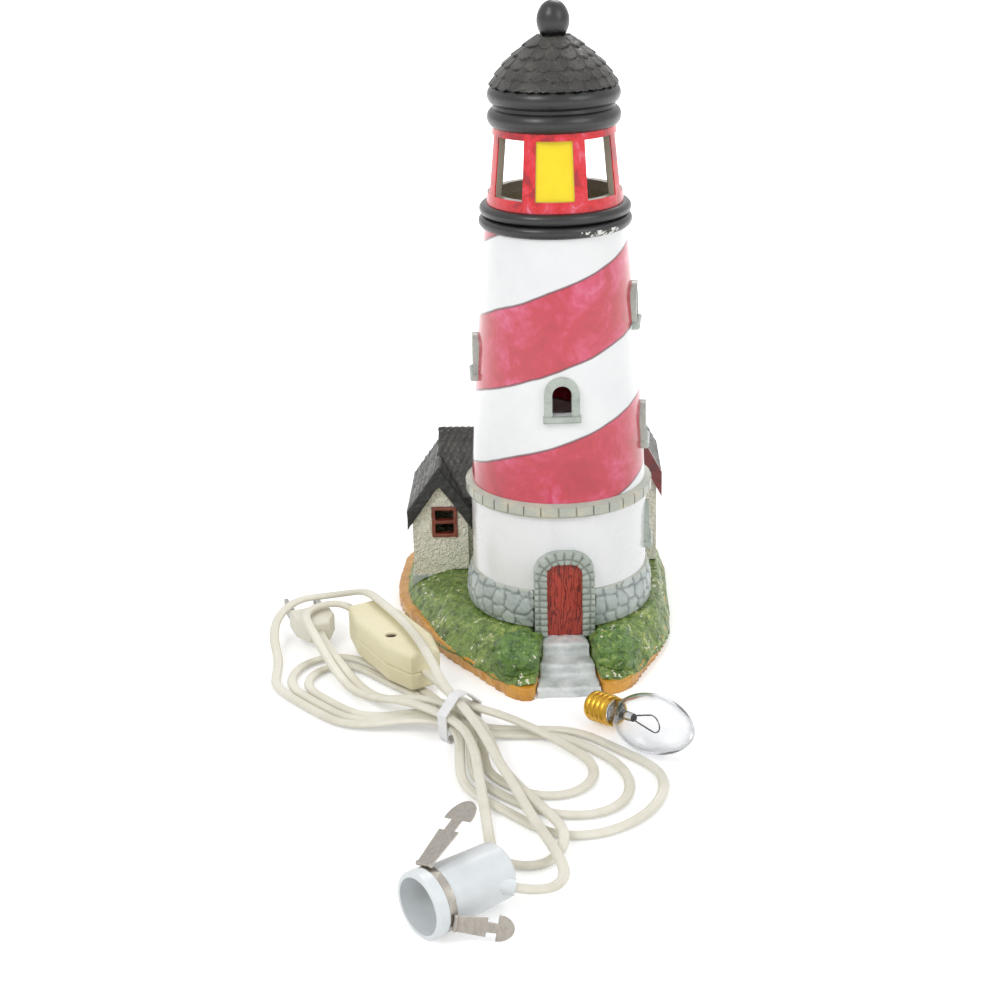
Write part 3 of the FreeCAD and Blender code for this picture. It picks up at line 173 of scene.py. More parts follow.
def flecks_group():
    """Small spots where the brush or a chip has left another colour."""
    tree, n, take, out = new_group("flecks", [("Size", NUMBER, 400.0), ("Amount", NUMBER, 0.3)],
                                   [("Mask", NUMBER)])
    place = n.place()
    spots = n.noise(place, take["Size"], 2.0)
    where = n.noise(place, n.math("MULTIPLY", take["Size"], 0.16), 2.0)
    edge = n.math("SUBTRACT", 0.78, n.math("MULTIPLY", take["Amount"], 0.3))
    hit = n.math("GREATER_THAN", n.math("ADD", n.math("MULTIPLY", spots, 0.62),
                                        n.math("MULTIPLY", where, 0.38)), edge)
    n.put(out["Mask"], hit)
    return tree


wrap, brush, flecks = wrap_group(), brush_group(), flecks_group()


class Finish(Nodes):
    """A material: its Principled shader and the nodes that feed it."""

    def __init__(self, name, **values):
        self.material = bpy.data.materials.new(name)
        self.material.use_nodes = True
        super().__init__(self.material.node_tree)
        self.shader = self.tree.nodes["Principled BSDF"]
        for key, value in values.items():
            self.shader.inputs[key.replace("_", " ")].default_value = value

    def group(self, tree, **values):
        node = self.add("Group", node_tree=tree)
        for key, value in values.items():
            self.put(node.inputs[key], value)
        return node.outputs

    def colour(self, value):
        self.put(self.shader.inputs["Base Color"], value)

    def rough(self, value):
        self.put(self.shader.inputs["Roughness"], value)

    def bump(self, height, depth, strength=0.6):
        node = self.add("Bump", {"Height": height, "Distance": depth * mm,
                                 "Strength": strength})
        self.put(self.shader.inputs["Normal"], node.outputs[0])


def glazed(name, colour, shade, size, strength, gloss=0.3, coat=0.5, depth=0.25):
    """Brush-painted ceramic under a clear glaze."""
    f = Finish(name, Coat_Weight=coat, Coat_Roughness=0.12)
    paint = f.group(brush, Colour=rgb(*colour), Shade=rgb(*shade), Size=size,
                    Strength=strength)
    f.colour(paint["Colour"])
    f.rough(f.step(paint["Height"], 0.3, 0.7, gloss, gloss + 0.14))
    f.bump(paint["Height"], depth)
    return f.material


def stonework(name, colour, shade, joint, cream=None):
    """Painted stones, whose joints and tones the carving leaves on the mesh.

    cream gives the heights, in millimetres, between which a cream wash sets in.
    """
    f = Finish(name, Coat_Weight=0.45, Coat_Roughness=0.15)
    sunk = f.add("Attribute", attribute_name="joint").outputs["Fac"]
    tones = f.add("Attribute", attribute_name="tone").outputs["Fac"]
    paint = f.group(brush, Colour=rgb(*colour), Shade=rgb(*shade), Size=150.0, Strength=0.8)
    tone = f.mix(f.math("MULTIPLY", tones, 0.55), paint["Colour"], rgb(*shade))
    if cream:
        height = f.group(wrap)["Height"]
        upper = f.math("MULTIPLY", f.step(height, cream[0] * mm, cream[1] * mm),
                       f.step(paint["Height"], 0.38, 0.55))
        tone = f.mix(f.math("MULTIPLY", upper, 0.6), tone, rgb(214, 204, 176))
    f.colour(f.mix(f.math("MULTIPLY", sunk, 0.75), tone, rgb(*joint)))
    f.rough(f.step(tones, 0.0, 1.0, 0.28, 0.45))
    f.bump(paint["Height"], 0.25)
    return f.material


def band_paint():
    """White shaft with one red band that climbs it, edged by a scratched line."""
    # in metres, and the scratch as shares of the band's rise in a turn
    edge_wobble, scratch_full, scratch_end = 0.0022, 0.004, 0.011
    f = Finish("spiral band glaze", Coat_Weight=0.8, Coat_Roughness=0.06)
    where = f.group(wrap)
    sway = f.math("MULTIPLY", f.math("SINE", f.math("MULTIPLY", where["Turn"], 2 * math.pi)),
                  band_sway * mm)
    wobble = f.math("MULTIPLY", f.math("SUBTRACT", f.noise(f.place(), 45.0, 2.0), 0.5),
                    edge_wobble)
    level = f.math("SUBTRACT", f.math("ADD", where["Height"], wobble), sway)
    climb = f.math("SUBTRACT", f.math("DIVIDE", f.math("SUBTRACT", level, band_crest * mm),
                                      band_rise * mm), where["Turn"])
    # twenty whole turns keep the number above zero and leave its share as it is
    share = f.math("FRACT", f.math("ADD", climb, 20.0))
    foot = 1.0 - band_share
    from_edge = f.math("MINIMUM", f.math("ABSOLUTE", f.math("SUBTRACT", share, foot)),
                       f.math("MINIMUM", share, f.math("SUBTRACT", 1.0, share)))
    scratch = f.step(from_edge, scratch_full, scratch_end, 1.0, 0.0)
    red = f.math("GREATER_THAN", share, foot)
    place = f.place()
    wash = f.noise(place, 62.0, 5.0, 0.62, 0.6)
    fine = f.noise(place, 260.0, 3.0)
    tone = f.shades(f.math("ADD", f.math("MULTIPLY", wash, 0.8), f.math("MULTIPLY", fine, 0.2)),
                    (0.38, (182, 12, 42)), (0.5, (198, 26, 58)), (0.6, (212, 62, 102)),
                    (0.74, (232, 130, 166)))
    white = f.group(brush, Colour=rgb(238, 239, 240), Shade=rgb(222, 225, 227), Size=24.0,
                    Strength=0.5)
    colour = f.mix(red, white["Colour"], tone)
    f.colour(f.mix(f.math("MULTIPLY", scratch, 0.8), colour, rgb(88, 26, 40)))
    f.rough(f.math("ADD", 0.18, f.math("MULTIPLY", red, 0.08)))
    height = f.math("SUBTRACT", f.math("MULTIPLY", white["Height"], 0.25), scratch)
    f.bump(height, 0.25, 0.5)
    return f.material


def lantern_paint():
    """Red brushwork on the lantern's outside, bare beige slip inside."""
    # how deep under the outer face, in millimetres, the glaze gives way to slip
    slip_from, slip_to = 0.35, 0.6
    f = Finish("lantern red glaze", Coat_Weight=0.4, Coat_Roughness=0.15)
    where = f.group(wrap)
    drop = (lantern_foot_r - lantern_head_r) / (lantern_head - lantern_foot)
    face_r = f.math("SUBTRACT", (lantern_foot_r + lantern_foot * drop) * mm,
                    f.math("MULTIPLY", where["Height"], drop))
    inside = f.step(f.math("SUBTRACT", face_r, where["Radius"]), slip_from * mm,
                    slip_to * mm)
    place = f.place()
    wash = f.noise(place, 130.0, 4.0, 0.65, 0.8)
    tone = f.shades(wash, (0.38, (170, 8, 34)), (0.48, (222, 22, 32)), (0.6, (226, 48, 66)),
                    (0.72, (233, 128, 150)))
    f.colour(f.mix(inside, tone, rgb(168, 158, 142)))
    f.rough(0.32)
    f.bump(wash, 0.3)
    return f.material


def black_paint():
    """Black glaze, chipped to the white clay on the gallery, bare inside the lantern."""
    # in metres, and the turns as shares of a whole turn
    chipped_turns, chipped_heights = (0.052, 0.15), (0.1738, 0.1768)
    lantern_inner_r, lantern_ceiling = 0.0239, 0.2129
    f = Finish("black glaze", Coat_Weight=0.25, Coat_Roughness=0.2)
    where = f.group(wrap)
    paint = f.group(brush, Colour=rgb(22, 22, 23), Shade=rgb(40, 39, 37), Size=70.0,
                    Strength=0.6)
    chips = f.step(f.noise(f.place(), 420.0, 4.0, 0.7), 0.5, 0.53)
    for value, (low, high) in ((where["Turn"], chipped_turns),
                               (where["Height"], chipped_heights)):
        chips = f.math("MULTIPLY", chips, f.math("GREATER_THAN", value, low))
        chips = f.math("MULTIPLY", chips, f.math("LESS_THAN", value, high))
    inside = f.math("MULTIPLY", f.math("LESS_THAN", where["Radius"], lantern_inner_r),
                    f.math("LESS_THAN", where["Height"], lantern_ceiling))
    colour = f.mix(inside, paint["Colour"], rgb(150, 142, 116))
    f.colour(f.mix(chips, colour, rgb(232, 232, 226)))
    f.rough(f.step(paint["Height"], 0.3, 0.7, 0.32, 0.46))
    f.bump(f.math("SUBTRACT", paint["Height"], chips), 0.3)
    return f.material


def door_wood():
    """Red-brown boards with deep combed grain."""
    f = Finish("door red wood", Coat_Weight=0.35, Coat_Roughness=0.2)
    place = f.place()
    stretched = f.add("Mapping", {"Vector": place, "Scale": (1.0, 1.0, 0.22)}).outputs[0]
    grain = f.add("TexWave", {"Vector": stretched, "Scale": 210.0, "Distortion": 16.0,
                              "Detail": 4.0, "Detail Scale": 2.2},
                  wave_type="BANDS", bands_direction="X").outputs[1]
    knots = f.noise(stretched, 420.0, 3.0)
    dark = f.step(f.math("ADD", f.math("MULTIPLY", grain, 0.5), f.math("MULTIPLY", knots, 0.5)),
                  0.16, 0.44)
    f.colour(f.mix(dark, rgb(104, 26, 16), rgb(178, 58, 42)))
    f.rough(0.36)
    f.bump(dark, 0.5, 0.8)
    return f.material


def turf_paint(name, dark, body, light, specks):
    """Stippled green with yellow highlights on its crests."""
    f = Finish(name, Coat_Weight=0.3, Coat_Roughness=0.25)
    place = f.place()
    clumps = f.noise(place, 240.0, 4.0, 0.7)
    fine = f.noise(place, 700.0, 3.0, 0.7)
    patches = f.noise(place, 38.0, 3.0)
    stipple = f.math("ADD", f.math("MULTIPLY", clumps, 0.6), f.math("MULTIPLY", fine, 0.4))
    colour = f.mix(f.step(stipple, 0.38, 0.56), rgb(*dark), rgb(*body))
    crest = f.math("MULTIPLY", f.step(stipple, 0.53, 0.62), f.step(patches, 0.4, 0.62))
    colour = f.mix(f.math("MULTIPLY", crest, 0.75), colour, rgb(*light))
    bare = f.group(flecks, Size=520.0, Amount=specks)["Mask"]
    f.colour(f.mix(bare, colour, rgb(226, 224, 200)))
    f.rough(0.42)
    f.bump(stipple, 0.55, 0.8)
    return f.material


def stucco():
    """Daubed cream plaster."""
    f = Finish("cottage stucco", Coat_Weight=0.25, Coat_Roughness=0.3)
    place = f.place()
    daubs = f.noise(place, 420.0, 3.0, 0.55, 1.2)
    paint = f.group(brush, Colour=rgb(244, 241, 224), Shade=rgb(228, 223, 198), Size=50.0,
                    Strength=0.55)
    f.colour(f.mix(f.step(daubs, 0.35, 0.5, 0.25, 0.0), paint["Colour"], rgb(204, 199, 176)))
    f.rough(0.4)
    f.bump(f.step(daubs, 0.35, 0.65), 0.7, 0.8)
    return f.material


def metal(name, colour, rough, scratch=0.05, brushed=(1.0, 1.0, 1.0)):
    """Bare metal with fine marks, drawn out along an axis where brushed says so."""
    f = Finish(name, Metallic=1.0)
    lines = f.add("Mapping", {"Vector": f.place(), "Scale": brushed}).outputs[0]
    marks = f.noise(lines, 900.0, 4.0, 0.7)
    f.colour(f.mix(f.step(marks, 0.35, 0.7, 0.0, 0.35), rgb(*colour),
                   tuple(0.5 * c for c in rgb(*colour)[:3]) + (1.0,)))
    f.rough(f.step(marks, 0.3, 0.7, rough, rough + 0.18))
    f.bump(marks, scratch)
    return f.material


def plastic(name, colour, shade, rough, grain=700.0, depth=0.05, coat=0.0):
    """Moulded plastic: faint mottling, soft sheen and a fine skin."""
    f = Finish(name, Coat_Weight=coat, Coat_Roughness=0.2)
    paint = f.group(brush, Colour=rgb(*colour), Shade=rgb(*shade), Size=40.0, Strength=0.5)
    skin = f.noise(f.place(), grain, 3.0)
    f.colour(paint["Colour"])
    f.rough(f.step(skin, 0.3, 0.7, rough, rough + 0.12))
    f.bump(skin, depth)
    return f.material


def clear_glass(name, colour, rough):
    """Thin blown glass with painted shade greying its edges where they turn from view, and
    faintly smeared.
    """
    f = Finish(name, Transmission_Weight=1.0, IOR=1.3, Roughness=rough)
    smear = f.noise(f.place(), 90.0, 3.0)
    # painted shade: grey mixed in where the glass turns edge-on to the view
    edge = f.step(f.add("LayerWeight", {"Blend": 0.5}).outputs["Facing"], 0.35, 0.95)
    wall = f.mix(f.step(smear, 0.4, 0.7, 0.0, 0.3), rgb(*colour), rgb(236, 238, 240))
    f.colour(f.mix(edge, wall, rgb(168, 172, 178)))
    f.bump(smear, 0.06, 0.3)
    return f.material


def cord_skin():
    """Off-white flexible vinyl with a row of faint moulded marks."""
    f = Finish("flat vinyl cord")
    paint = f.group(brush, Colour=rgb(233, 230, 216), Shade=rgb(212, 207, 188), Size=30.0,
                    Strength=0.7)
    marks = f.group(flecks, Size=1500.0, Amount=0.1)["Mask"]
    f.colour(f.mix(f.math("MULTIPLY", marks, 0.3), paint["Colour"], rgb(120, 112, 96)))
    f.rough(0.42)
    f.bump(paint["Height"], 0.12)
    return f.material


finishes = {
    "ochre_rim": glazed("ochre rim glaze", (222, 160, 50), (178, 112, 28), 120.0, 0.75, 0.3,
                        0.4, 0.9),
    "turf": turf_paint("turf glaze", (70, 94, 34), (122, 148, 68), (200, 204, 124), 0.56),
    "shrub": turf_paint("shrub glaze", (52, 84, 28), (98, 134, 54), (166, 180, 96), 0.48),
    "pale_stone": glazed("pale stone glaze", (224, 228, 228), (172, 182, 180), 110.0, 0.8),
    "fieldstone": stonework("fieldstone glaze", (194, 203, 200), (158, 170, 167),
                            (98, 108, 104), cream=(30, 33)),
    "ledge_stone": glazed("ledge stone glaze", (176, 182, 172), (208, 200, 176), 150.0, 0.8),
    "white_glaze": band_paint(),
    "door_red": door_wood(),
    "black_glaze": black_paint(),
    "lantern_red": lantern_paint(),
    "pane_yellow": plastic("yellow pane", (250, 226, 16), (244, 206, 8), 0.3, coat=0.3),
    "roof_tiles": glazed("tile glaze", (40, 38, 36), (84, 82, 76), 170.0, 0.8, 0.4, 0.25, 0.5),
    "stucco": stucco(),
    "window_brown": glazed("window frame glaze", (134, 58, 38), (94, 34, 22), 200.0, 0.6),
    "eave_red": glazed("eave red glaze", (132, 34, 36), (60, 20, 20), 140.0, 0.7),
    "socket_white": plastic("holder white plastic", (226, 231, 233), (208, 216, 220), 0.28,
                            coat=0.3),
    "brass": metal("screw brass", (214, 168, 62), 0.22),
    "insulator_black": plastic("insulator black", (24, 23, 24), (46, 42, 38), 0.4),
    "clip_steel": metal("clip spring steel", (176, 170, 162), 0.34, 0.03, (1.0, 1.0, 0.2)),
    "switch_cream": plastic("switch cream plastic", (234, 227, 192), (218, 208, 166), 0.36),
    "screw_dark": metal("dark steel", (94, 84, 72), 0.4),
    "cord_white": cord_skin(),
    "blade_steel": metal("blade nickel", (168, 168, 162), 0.3),
    "bulb_glass": clear_glass("bulb clear glass", (252, 253, 254), 0.02),
    "bulb_stem_glass": clear_glass("bulb stem glass", (206, 212, 216), 0.12),
    "tie_paper": plastic("tie paper", (240, 240, 240), (218, 220, 222), 0.6, 1200.0, 0.12),
}
plain_drum = glazed("drum white glaze", (238, 239, 240), (224, 227, 229), 24.0, 0.5, 0.18, 0.8,
                    0.12)

window_stone = glazed("window stone glaze", (182, 191, 182), (146, 156, 146), 180.0, 0.8)
doorway_stone = stonework("doorway stone glaze", (186, 195, 186), (152, 162, 152),
                          (96, 104, 94))

slot_of = {part["node"]: part["material_slot"] for part in frame["record"]["subparts"]}
for name, thing in nodes.items():
    finish = finishes[slot_of[name]]
    if name == "tower_lower_drum":
        finish = plain_drum
    elif name.startswith("window_surround"):
        finish = window_stone
    for slot in thing.material_slots:
        slot.material = finish


# ------------------------------------------------------------------- modelling
def only(thing):
    """Select one object and nothing else."""
    bpy.ops.object.select_all(action="DESELECT")
    thing.select_set(True)
    bpy.context.view_layer.objects.active = thing


def dress(thing, node, finish=None):
    """Give a finished piece of the ornament its material, in place of its CAD node."""
    thing.data.materials.clear()
    thing.data.materials.append(finish or finishes[slot_of[node]])
    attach(thing, ORNAMENT)
    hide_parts(node)


def carved(name, node, voxel, move, rounds=0, finish=None):
    """A fine-meshed copy of a CAD node whose surface is worked by move().

    move(places, normals) takes millimetres and returns how far each vertex goes
    along its normal, or each vertex's whole move, or with the first of these each
    vertex's joint and tone.  The mesh is smoothed by so many rounds first.
    """
    thing = nodes[node].copy()
    thing.data = nodes[node].data.copy()
    thing.name = thing.data.name = name
    thing.parent = None
    bpy.context.collection.objects.link(thing)
    only(thing)
    bpy.ops.object.mode_set(mode="EDIT")
    bpy.ops.mesh.select_all(action="SELECT")
    bpy.ops.mesh.remove_doubles(threshold=1e-6)
    bpy.ops.object.mode_set(mode="OBJECT")
    remesh = thing.modifiers.new("fine mesh", "REMESH")
    remesh.mode, remesh.voxel_size = "VOXEL", voxel * mm
    bpy.ops.object.modifier_apply(modifier=remesh.name)
    if rounds:
        soften = thing.modifiers.new("soft edges", "SMOOTH")
        soften.iterations = rounds
        bpy.ops.object.modifier_apply(modifier=soften.name)
    count = len(thing.data.vertices)
    places, normals = np.empty(count * 3), np.empty(count * 3)
    thing.data.vertices.foreach_get("co", places)
    thing.data.vertices.foreach_get("normal", normals)
    places, normals = places.reshape(-1, 3), normals.reshape(-1, 3)
    moved = move(places / mm, normals)
    if isinstance(moved, tuple):
        for label, values in zip(("joint", "tone"), moved[1:]):
            layer = thing.data.attributes.new(label, "FLOAT", "POINT")
            layer.data.foreach_set("value", values.astype(np.float32))
        moved = moved[0]
    if moved.ndim == 1:
        moved = normals * moved[:, None]
    places = places + moved * mm
    thing.data.vertices.foreach_set("co", places.ravel())
    thing.data.update()
    only(thing)
    bpy.ops.object.shade_smooth()
    dress(thing, node, finish=finish)
    return thing


def grain(places, size, octaves=3, seed=0.0):
    """Soft noise from -1 to 1 with features of about size millimetres."""
    shift = Vector((seed, seed * 1.7, seed * 0.3))
    return np.array([noise.fractal(Vector(p) / size + shift, 0.6, 2.1, octaves)
                     for p in places])


def cells(u, v, size, seed=1.0):
    """Distance between the nearest and next stone centre, and a tone per stone."""
    near = np.full(len(u), 9e9)
    second = near.copy()
    tone = np.zeros(len(u))
    gu, gv = np.floor(u / size), np.floor(v / size)
    for du in (-1, 0, 1):
        for dv in (-1, 0, 1):
            cu, cv = gu + du, gv + dv
            jitter = np.sin(cu * 127.1 + cv * 311.7 + seed) * 43758.5
            jitter_v = np.sin(cu * 269.5 + cv * 183.3 + seed) * 43758.5
            jitter, jitter_v = jitter - np.floor(jitter), jitter_v - np.floor(jitter_v)
            away = np.hypot(u - (cu + 0.15 + 0.7 * jitter) * size,
                            v - (cv + 0.15 + 0.7 * jitter_v) * size)
            closer = away < near
            second = np.where(closer, near, np.minimum(second, away))
            tone = np.where(closer, jitter, tone)
            near = np.minimum(near, away)
    return second - near, tone


def ramp(x, low, high):
    """Smooth change from 0 to 1 as x goes from low to high."""
    t = np.clip((x - low) / (high - low), 0, 1)
    return t * t * (3 - 2 * t)


def around(places):
    """Turn about the tower, from its front to the right, and distance from its axis."""
    return np.arctan2(places[:, 0], -places[:, 1]), np.hypot(places[:, 0], places[:, 1])


def turf_relief(places, normals):
    """Tufts on the upper side, flat where it sits on the slab."""
    edge_top_z, edge_foot_z, overhang, longest_drop = 9.5, 6.0, 2.3, 4.8
    steps_x, steps_back_y, steps_front_y = 2, -38, -46
    open_side = ramp(normals[:, 2], -0.3, 0.1)
    tufts = open_side * (0.6 * grain(places, 2.4, 3) + 0.5 * grain(places, 8.0, 2, 5.0) - 0.3)
    x, y, z = places.T
    # it hangs over the rim, further down towards the back, and not at the steps
    at_steps = ramp(y, steps_back_y, steps_front_y) * ramp(np.abs(x - steps_x), 19, 16)
    edge = ramp(z, edge_top_z, edge_foot_z) * (1 - at_steps)
    drop = 1.6 + 3.2 * ramp(y, -40, -5) + 1.3 * grain(places * np.array([1, 1, 0]), 9.0, 2, 8.0)
    out = normals * np.array([1, 1, 0])
    out /= np.maximum(np.linalg.norm(out, axis=1), 0.25)[:, None]
    hang = out * overhang - np.array([0, 0, 1.0]) * np.clip(drop, 0.3, longest_drop)[:, None]
    return normals * tufts[:, None] + hang * edge[:, None]


def shrub_relief(places, normals):
    """Clumps of leaves, flat where the bush stands in the turf."""
    up = ramp(normals[:, 2], -0.6, -0.1)
    return up * (1.3 * grain(places, 5.5, 3, 2.0) + 0.5 * grain(places, 2.0, 2, 7.0) - 0.1)


def plinth_relief(places, normals):
    """Rounded fieldstones with sunk joints on the outer face."""
    stones_round, stone_length, stone_height, first_course_z = 36, 6.7, 6.2, 16.3
    joint_width, joint_depth, waver = 1.0, 0.9, 1.2
    face_from_r, face_to_r = 36.2, 36.8
    angle, radius = around(places)
    turns = angle / (2 * math.pi) * stones_round
    edge, tone = cells(turns * stone_length + grain(places, 6.0, 2) * waver,
                       places[:, 2] - first_course_z, stone_height, 4.0)
    outer = ramp(radius, face_from_r, face_to_r) * ramp(np.abs(normals[:, 2]), 0.9, 0.6)
    joint = outer * (1 - ramp(edge, 0.0, joint_width))
    swell = 0.5 * (tone - 0.5) + 0.18 * grain(places, 1.8, 2) - 0.15
    return -joint_depth * joint + outer * swell, joint, tone


def arch_relief(places, normals):
    """Blocks laid round the doorway: upright at its sides, fanned over its head."""
    face_r, spring, ring_r = 38.4, 37.5, 9.6
    head_block, side_block, joint_width, joint_depth = 2.9, 2.7, 0.6, 0.55
    angle, radius = around(places)
    across = (angle - door_turn) * face_r
    over = places[:, 2] > spring
    around_arch = np.where(over, np.arctan2(across, np.maximum(places[:, 2] - spring, 0.01))
                           * ring_r, places[:, 2] - spring)
    span = np.where(over, head_block, side_block)
    share = around_arch / span + 0.12 * grain(places, 5.0, 1)
    from_joint = np.abs(share - np.round(share)) * span
    # a second ring of blocks inside the first
    ring = np.where(over, np.hypot(across, places[:, 2] - spring), np.abs(across)) - ring_r
    from_joint = np.minimum(from_joint, np.abs(ring + 0.4 * grain(places, 4.0, 1)))
    front = ramp(radius, 38.0, 39.0)
    joint = front * (1 - ramp(from_joint, 0.0, joint_width))
    tone = np.abs(np.sin(np.floor(share) * 12.9 + np.sign(ring)))
    return -joint_depth * joint + 0.2 * front * grain(places, 2.4, 2) - 0.05, joint, tone


def step_relief(places, normals):
    """Steps worn hollow, flat where they lie on the floor."""
    top = ramp(places[:, 2], 0.4, 1.5)
    return top * (0.5 * grain(places, 8.0, 3, 3.0) + 0.2 * grain(places, 2.5, 2) - 0.2)


def slab_relief(places, normals):
    """Brushed clay round the rim; flat above and below."""
    side = 1 - ramp(np.abs(normals[:, 2]), 0.5, 0.9)
    return side * (0.4 * grain(places * np.array([1, 1, 0.5]), 4.0, 3, 9.0) - 0.35)


def roof_relief(along, slope):
    """Rows of small rounded tiles on a roof whose ridge runs along an axis."""
    steep = math.sin(math.radians(slope))
    row_pitch, tile_width = 3.3, 2.7

    def relief(places, normals):
        upper = ramp(normals[:, 2], 0.15, 0.4)
        row = places[:, 2] / steep / row_pitch
        shift = np.where(np.floor(row) % 2 > 0.5, 0.5, 0.0)
        tile = np.abs(np.sin(math.pi * (places[:, along] / tile_width + shift)))
        return upper * (0.75 * np.sqrt(tile) * (1 - 0.75 * (row % 1))
                        + 0.2 * grain(places, 2.2, 2) - 0.35)
    return relief


def board_relief(places, normals):
    """Thick uneven paint on barge boards and window bars."""
    return 0.18 * grain(places, 3.5, 3, 6.0) - 0.1


def smooth_shell(places, normals):
    """No relief: the switch's moulded shells only have their edges softened."""
    return np.zeros(len(places))


carved("turf_relief", "grass_mound", 1.25, turf_relief)
for side in ("left", "right"):
    carved("shrub_%s_leaves" % side, "bush_" + side, 0.6, shrub_relief)
carved("fieldstone_relief", "fieldstone_plinth", 0.75, plinth_relief)
carved("doorway_stones", "door_surround", 0.45, arch_relief, finish=doorway_stone)
carved("worn_steps", "front_steps", 0.7, step_relief)
carved("clay_rim", "base_slab", 1.3, slab_relief)
carved("cottage_tiles", "left_wing_roof", 0.7, roof_relief(1, 55.0))
carved("range_tiles", "middle_roof", 0.7, roof_relief(0, 46.5))
carved("tall_wing_tiles", "right_wing_roof", 0.8, roof_relief(1, 62.0))
carved("cottage_barge_boards", "left_wing_boards", 0.4, board_relief)
carved("cottage_window_frame", "left_wing_window", 0.35, board_relief)
for half in ("top", "bottom"):
    carved("switch_cover_" + half, "switch_shell_" + half, 0.4, smooth_shell, rounds=14)


def tiled_dome():
    """Courses of round-ended tiles that lap over each other round the dome."""
    courses, tiles = 5, (25, 23, 19, 15, 10)
    bulge, wall_thickness = 2.6, 2.2
    lip, lip_taper = 1.25, 0.95
    bpy.ops.mesh.primitive_grid_add(x_subdivisions=300, y_subdivisions=75, size=1.0)
    dome = bpy.context.object
    dome.name = dome.data.name = "dome_tiles"
    flat = np.array([v.co[:] for v in dome.data.vertices])
    turn, share = (flat[:, 0] + 0.5), np.clip(flat[:, 1] + 0.5, 0, 1)
    radius = dome_foot_r + share * (dome_head_r - dome_foot_r)
    radius += bulge * np.sin(math.pi * share) * (1 - 0.35 * share)
    row = np.minimum(np.floor(share * courses), courses - 1).astype(int)
    height = share * courses - row

    def lap(course, rise):
        """How far each point is above its tile's rounded foot, and the tile's body."""
        count = np.array(tiles)[np.clip(course, 0, courses - 1)]
        across = (turn * count + 0.5 * (course % 2) + 0.1 * np.sin(turn * 40)) % 1.0 * 2 - 1
        foot = 0.34 * across ** 2 + 0.04 * np.sin(turn * count * 2.3)
        groove = 1 - ramp(np.abs(across), 0.86, 0.99)
        return rise - foot, 0.25 + 0.75 * groove

    above, body = lap(row, height)
    below, body_below = lap(row - 1, height + 1)
    raised = np.where(above > 0, (lip - lip_taper * np.clip(above, 0, 1)) * body,
                      (lip - lip_taper * np.clip(below, 0, 1.25)) * body_below)
    raised = np.where((above <= 0) & (row == 0), 0.1, raised)
    reach = radius + raised * 0.95 - 0.25
    angle = turn * 2 * math.pi
    z = dome_foot_z + share * dome_height
    spots = np.stack([reach * np.sin(angle), -reach * np.cos(angle), z], 1)
    spots += 0.12 * grain(spots, 2.0, 2)[:, None]
    spots[:, 2] = np.maximum(spots[:, 2], dome_foot_z + 0.02)
    seam = np.isclose(turn, 1.0)
    first = {round(float(s), 5): i for i, s in enumerate(share) if turn[i] < 1e-6}
    for i in np.nonzero(seam)[0]:
        spots[i] = spots[first[round(float(share[i]), 5)]]
    for vertex, spot in zip(dome.data.vertices, spots):
        vertex.co = Vector(spot) * mm
    only(dome)
    bpy.ops.object.mode_set(mode="EDIT")
    bpy.ops.mesh.select_all(action="SELECT")
    bpy.ops.mesh.remove_doubles(threshold=1e-6)
    bpy.ops.mesh.normals_make_consistent(inside=False)
    bpy.ops.object.mode_set(mode="OBJECT")
    wall = dome.modifiers.new("wall", "SOLIDIFY")
    wall.thickness, wall.offset = wall_thickness * mm, -1
    bpy.ops.object.modifier_apply(modifier=wall.name)
    bpy.ops.object.shade_smooth()
    dress(dome, "dome_roof")


tiled_dome()


# -------------------------------------------------------------------- the cord
# the plan of the bundle, as in part.py: along it, across it and up, in millimetres
tie = Vector((-38, -98, 0))
along = Vector((0.7314, -0.6820, 0)).normalized()
across = Vector((0.6820, 0.7314, 0)).normalized()
lead_points = [(98.9, -72.7, 10.6), (102.5, -69, 9.4), (105.2, -60.5, 7.4),
               (101.5, -51.5, 6.6), (92.5, -45.5, 7.2), (80, -38.5, 6.6), (66, -31, 5.8),
               (52, -24.5, 8.9), (37, -17.5, 10.7), (22, -9.5, 12.7), (6, -3, 14.7),
               (-10, 2, 15.4), (-26, 9, 21.9), (-42, 17.5, 21.9), (-58, 24.5, 21.9),
               (-75, 30, 21.9), (-91, 34.8, 21.9), (-105, 36, 16.3), (-115, 30.5, 13.7),
               (-119, 20, 14.6), (-118, 8.5, 12), (-112, -0.5, 7), (-97.9, -8.4, 1.75),
               (-91.26, -15.79, 1.75)]
feed_points = [(0, 5.9, 10.5), (-11, 6.6, 10.5), (-22.4, 10.5, 11.1), (-33, 13.5, 11.2)]
plug_points = [(-88, 29.2, 11.2), (-95.2, 31.3, 13), (-102.3, 28.7, 14.9),
               (-106.5, 22.5, 14.9), (-106.2, 15, 14.9), (-101.6, 9.1, 14.9),
               (-90.5, 4.6, 12.6), (-75, -0.8, 6.6), (-57, -5.4, 1.8), (-40, -8.4, 5),
               (-24, -8, 9.8), (-9, -6.6, 10.5), (8, -7.2, 10.5), (22, -14.5, 9.4),
               (35, -25, 6.6), (48, -35.8, 5.4), (60, -45.5, 1.8), (69.7, -53.6, 1.8),
               (76.9, -54.5, 1.8), (83.5, -51.3, 1.8), (87.3, -45, 1.8), (87, -37.7, 3.4),
               (82.8, -31.7, 6.3), (72, -26.9, 6), (58, -22.5, 5.8), (45, -18.5, 5.9),
               (33, -13, 6.1), (21, -6, 10.1), (8, 0.4, 10.5), (-9, 0.4, 10.8),
               (-25, -2.2, 8.6), (-42, -3, 1.8), (-58, -0.9, 1.8), (-73, 3.2, 5.8),
               (-86, 7.8, 5.8), (-97, 13, 8.2)]
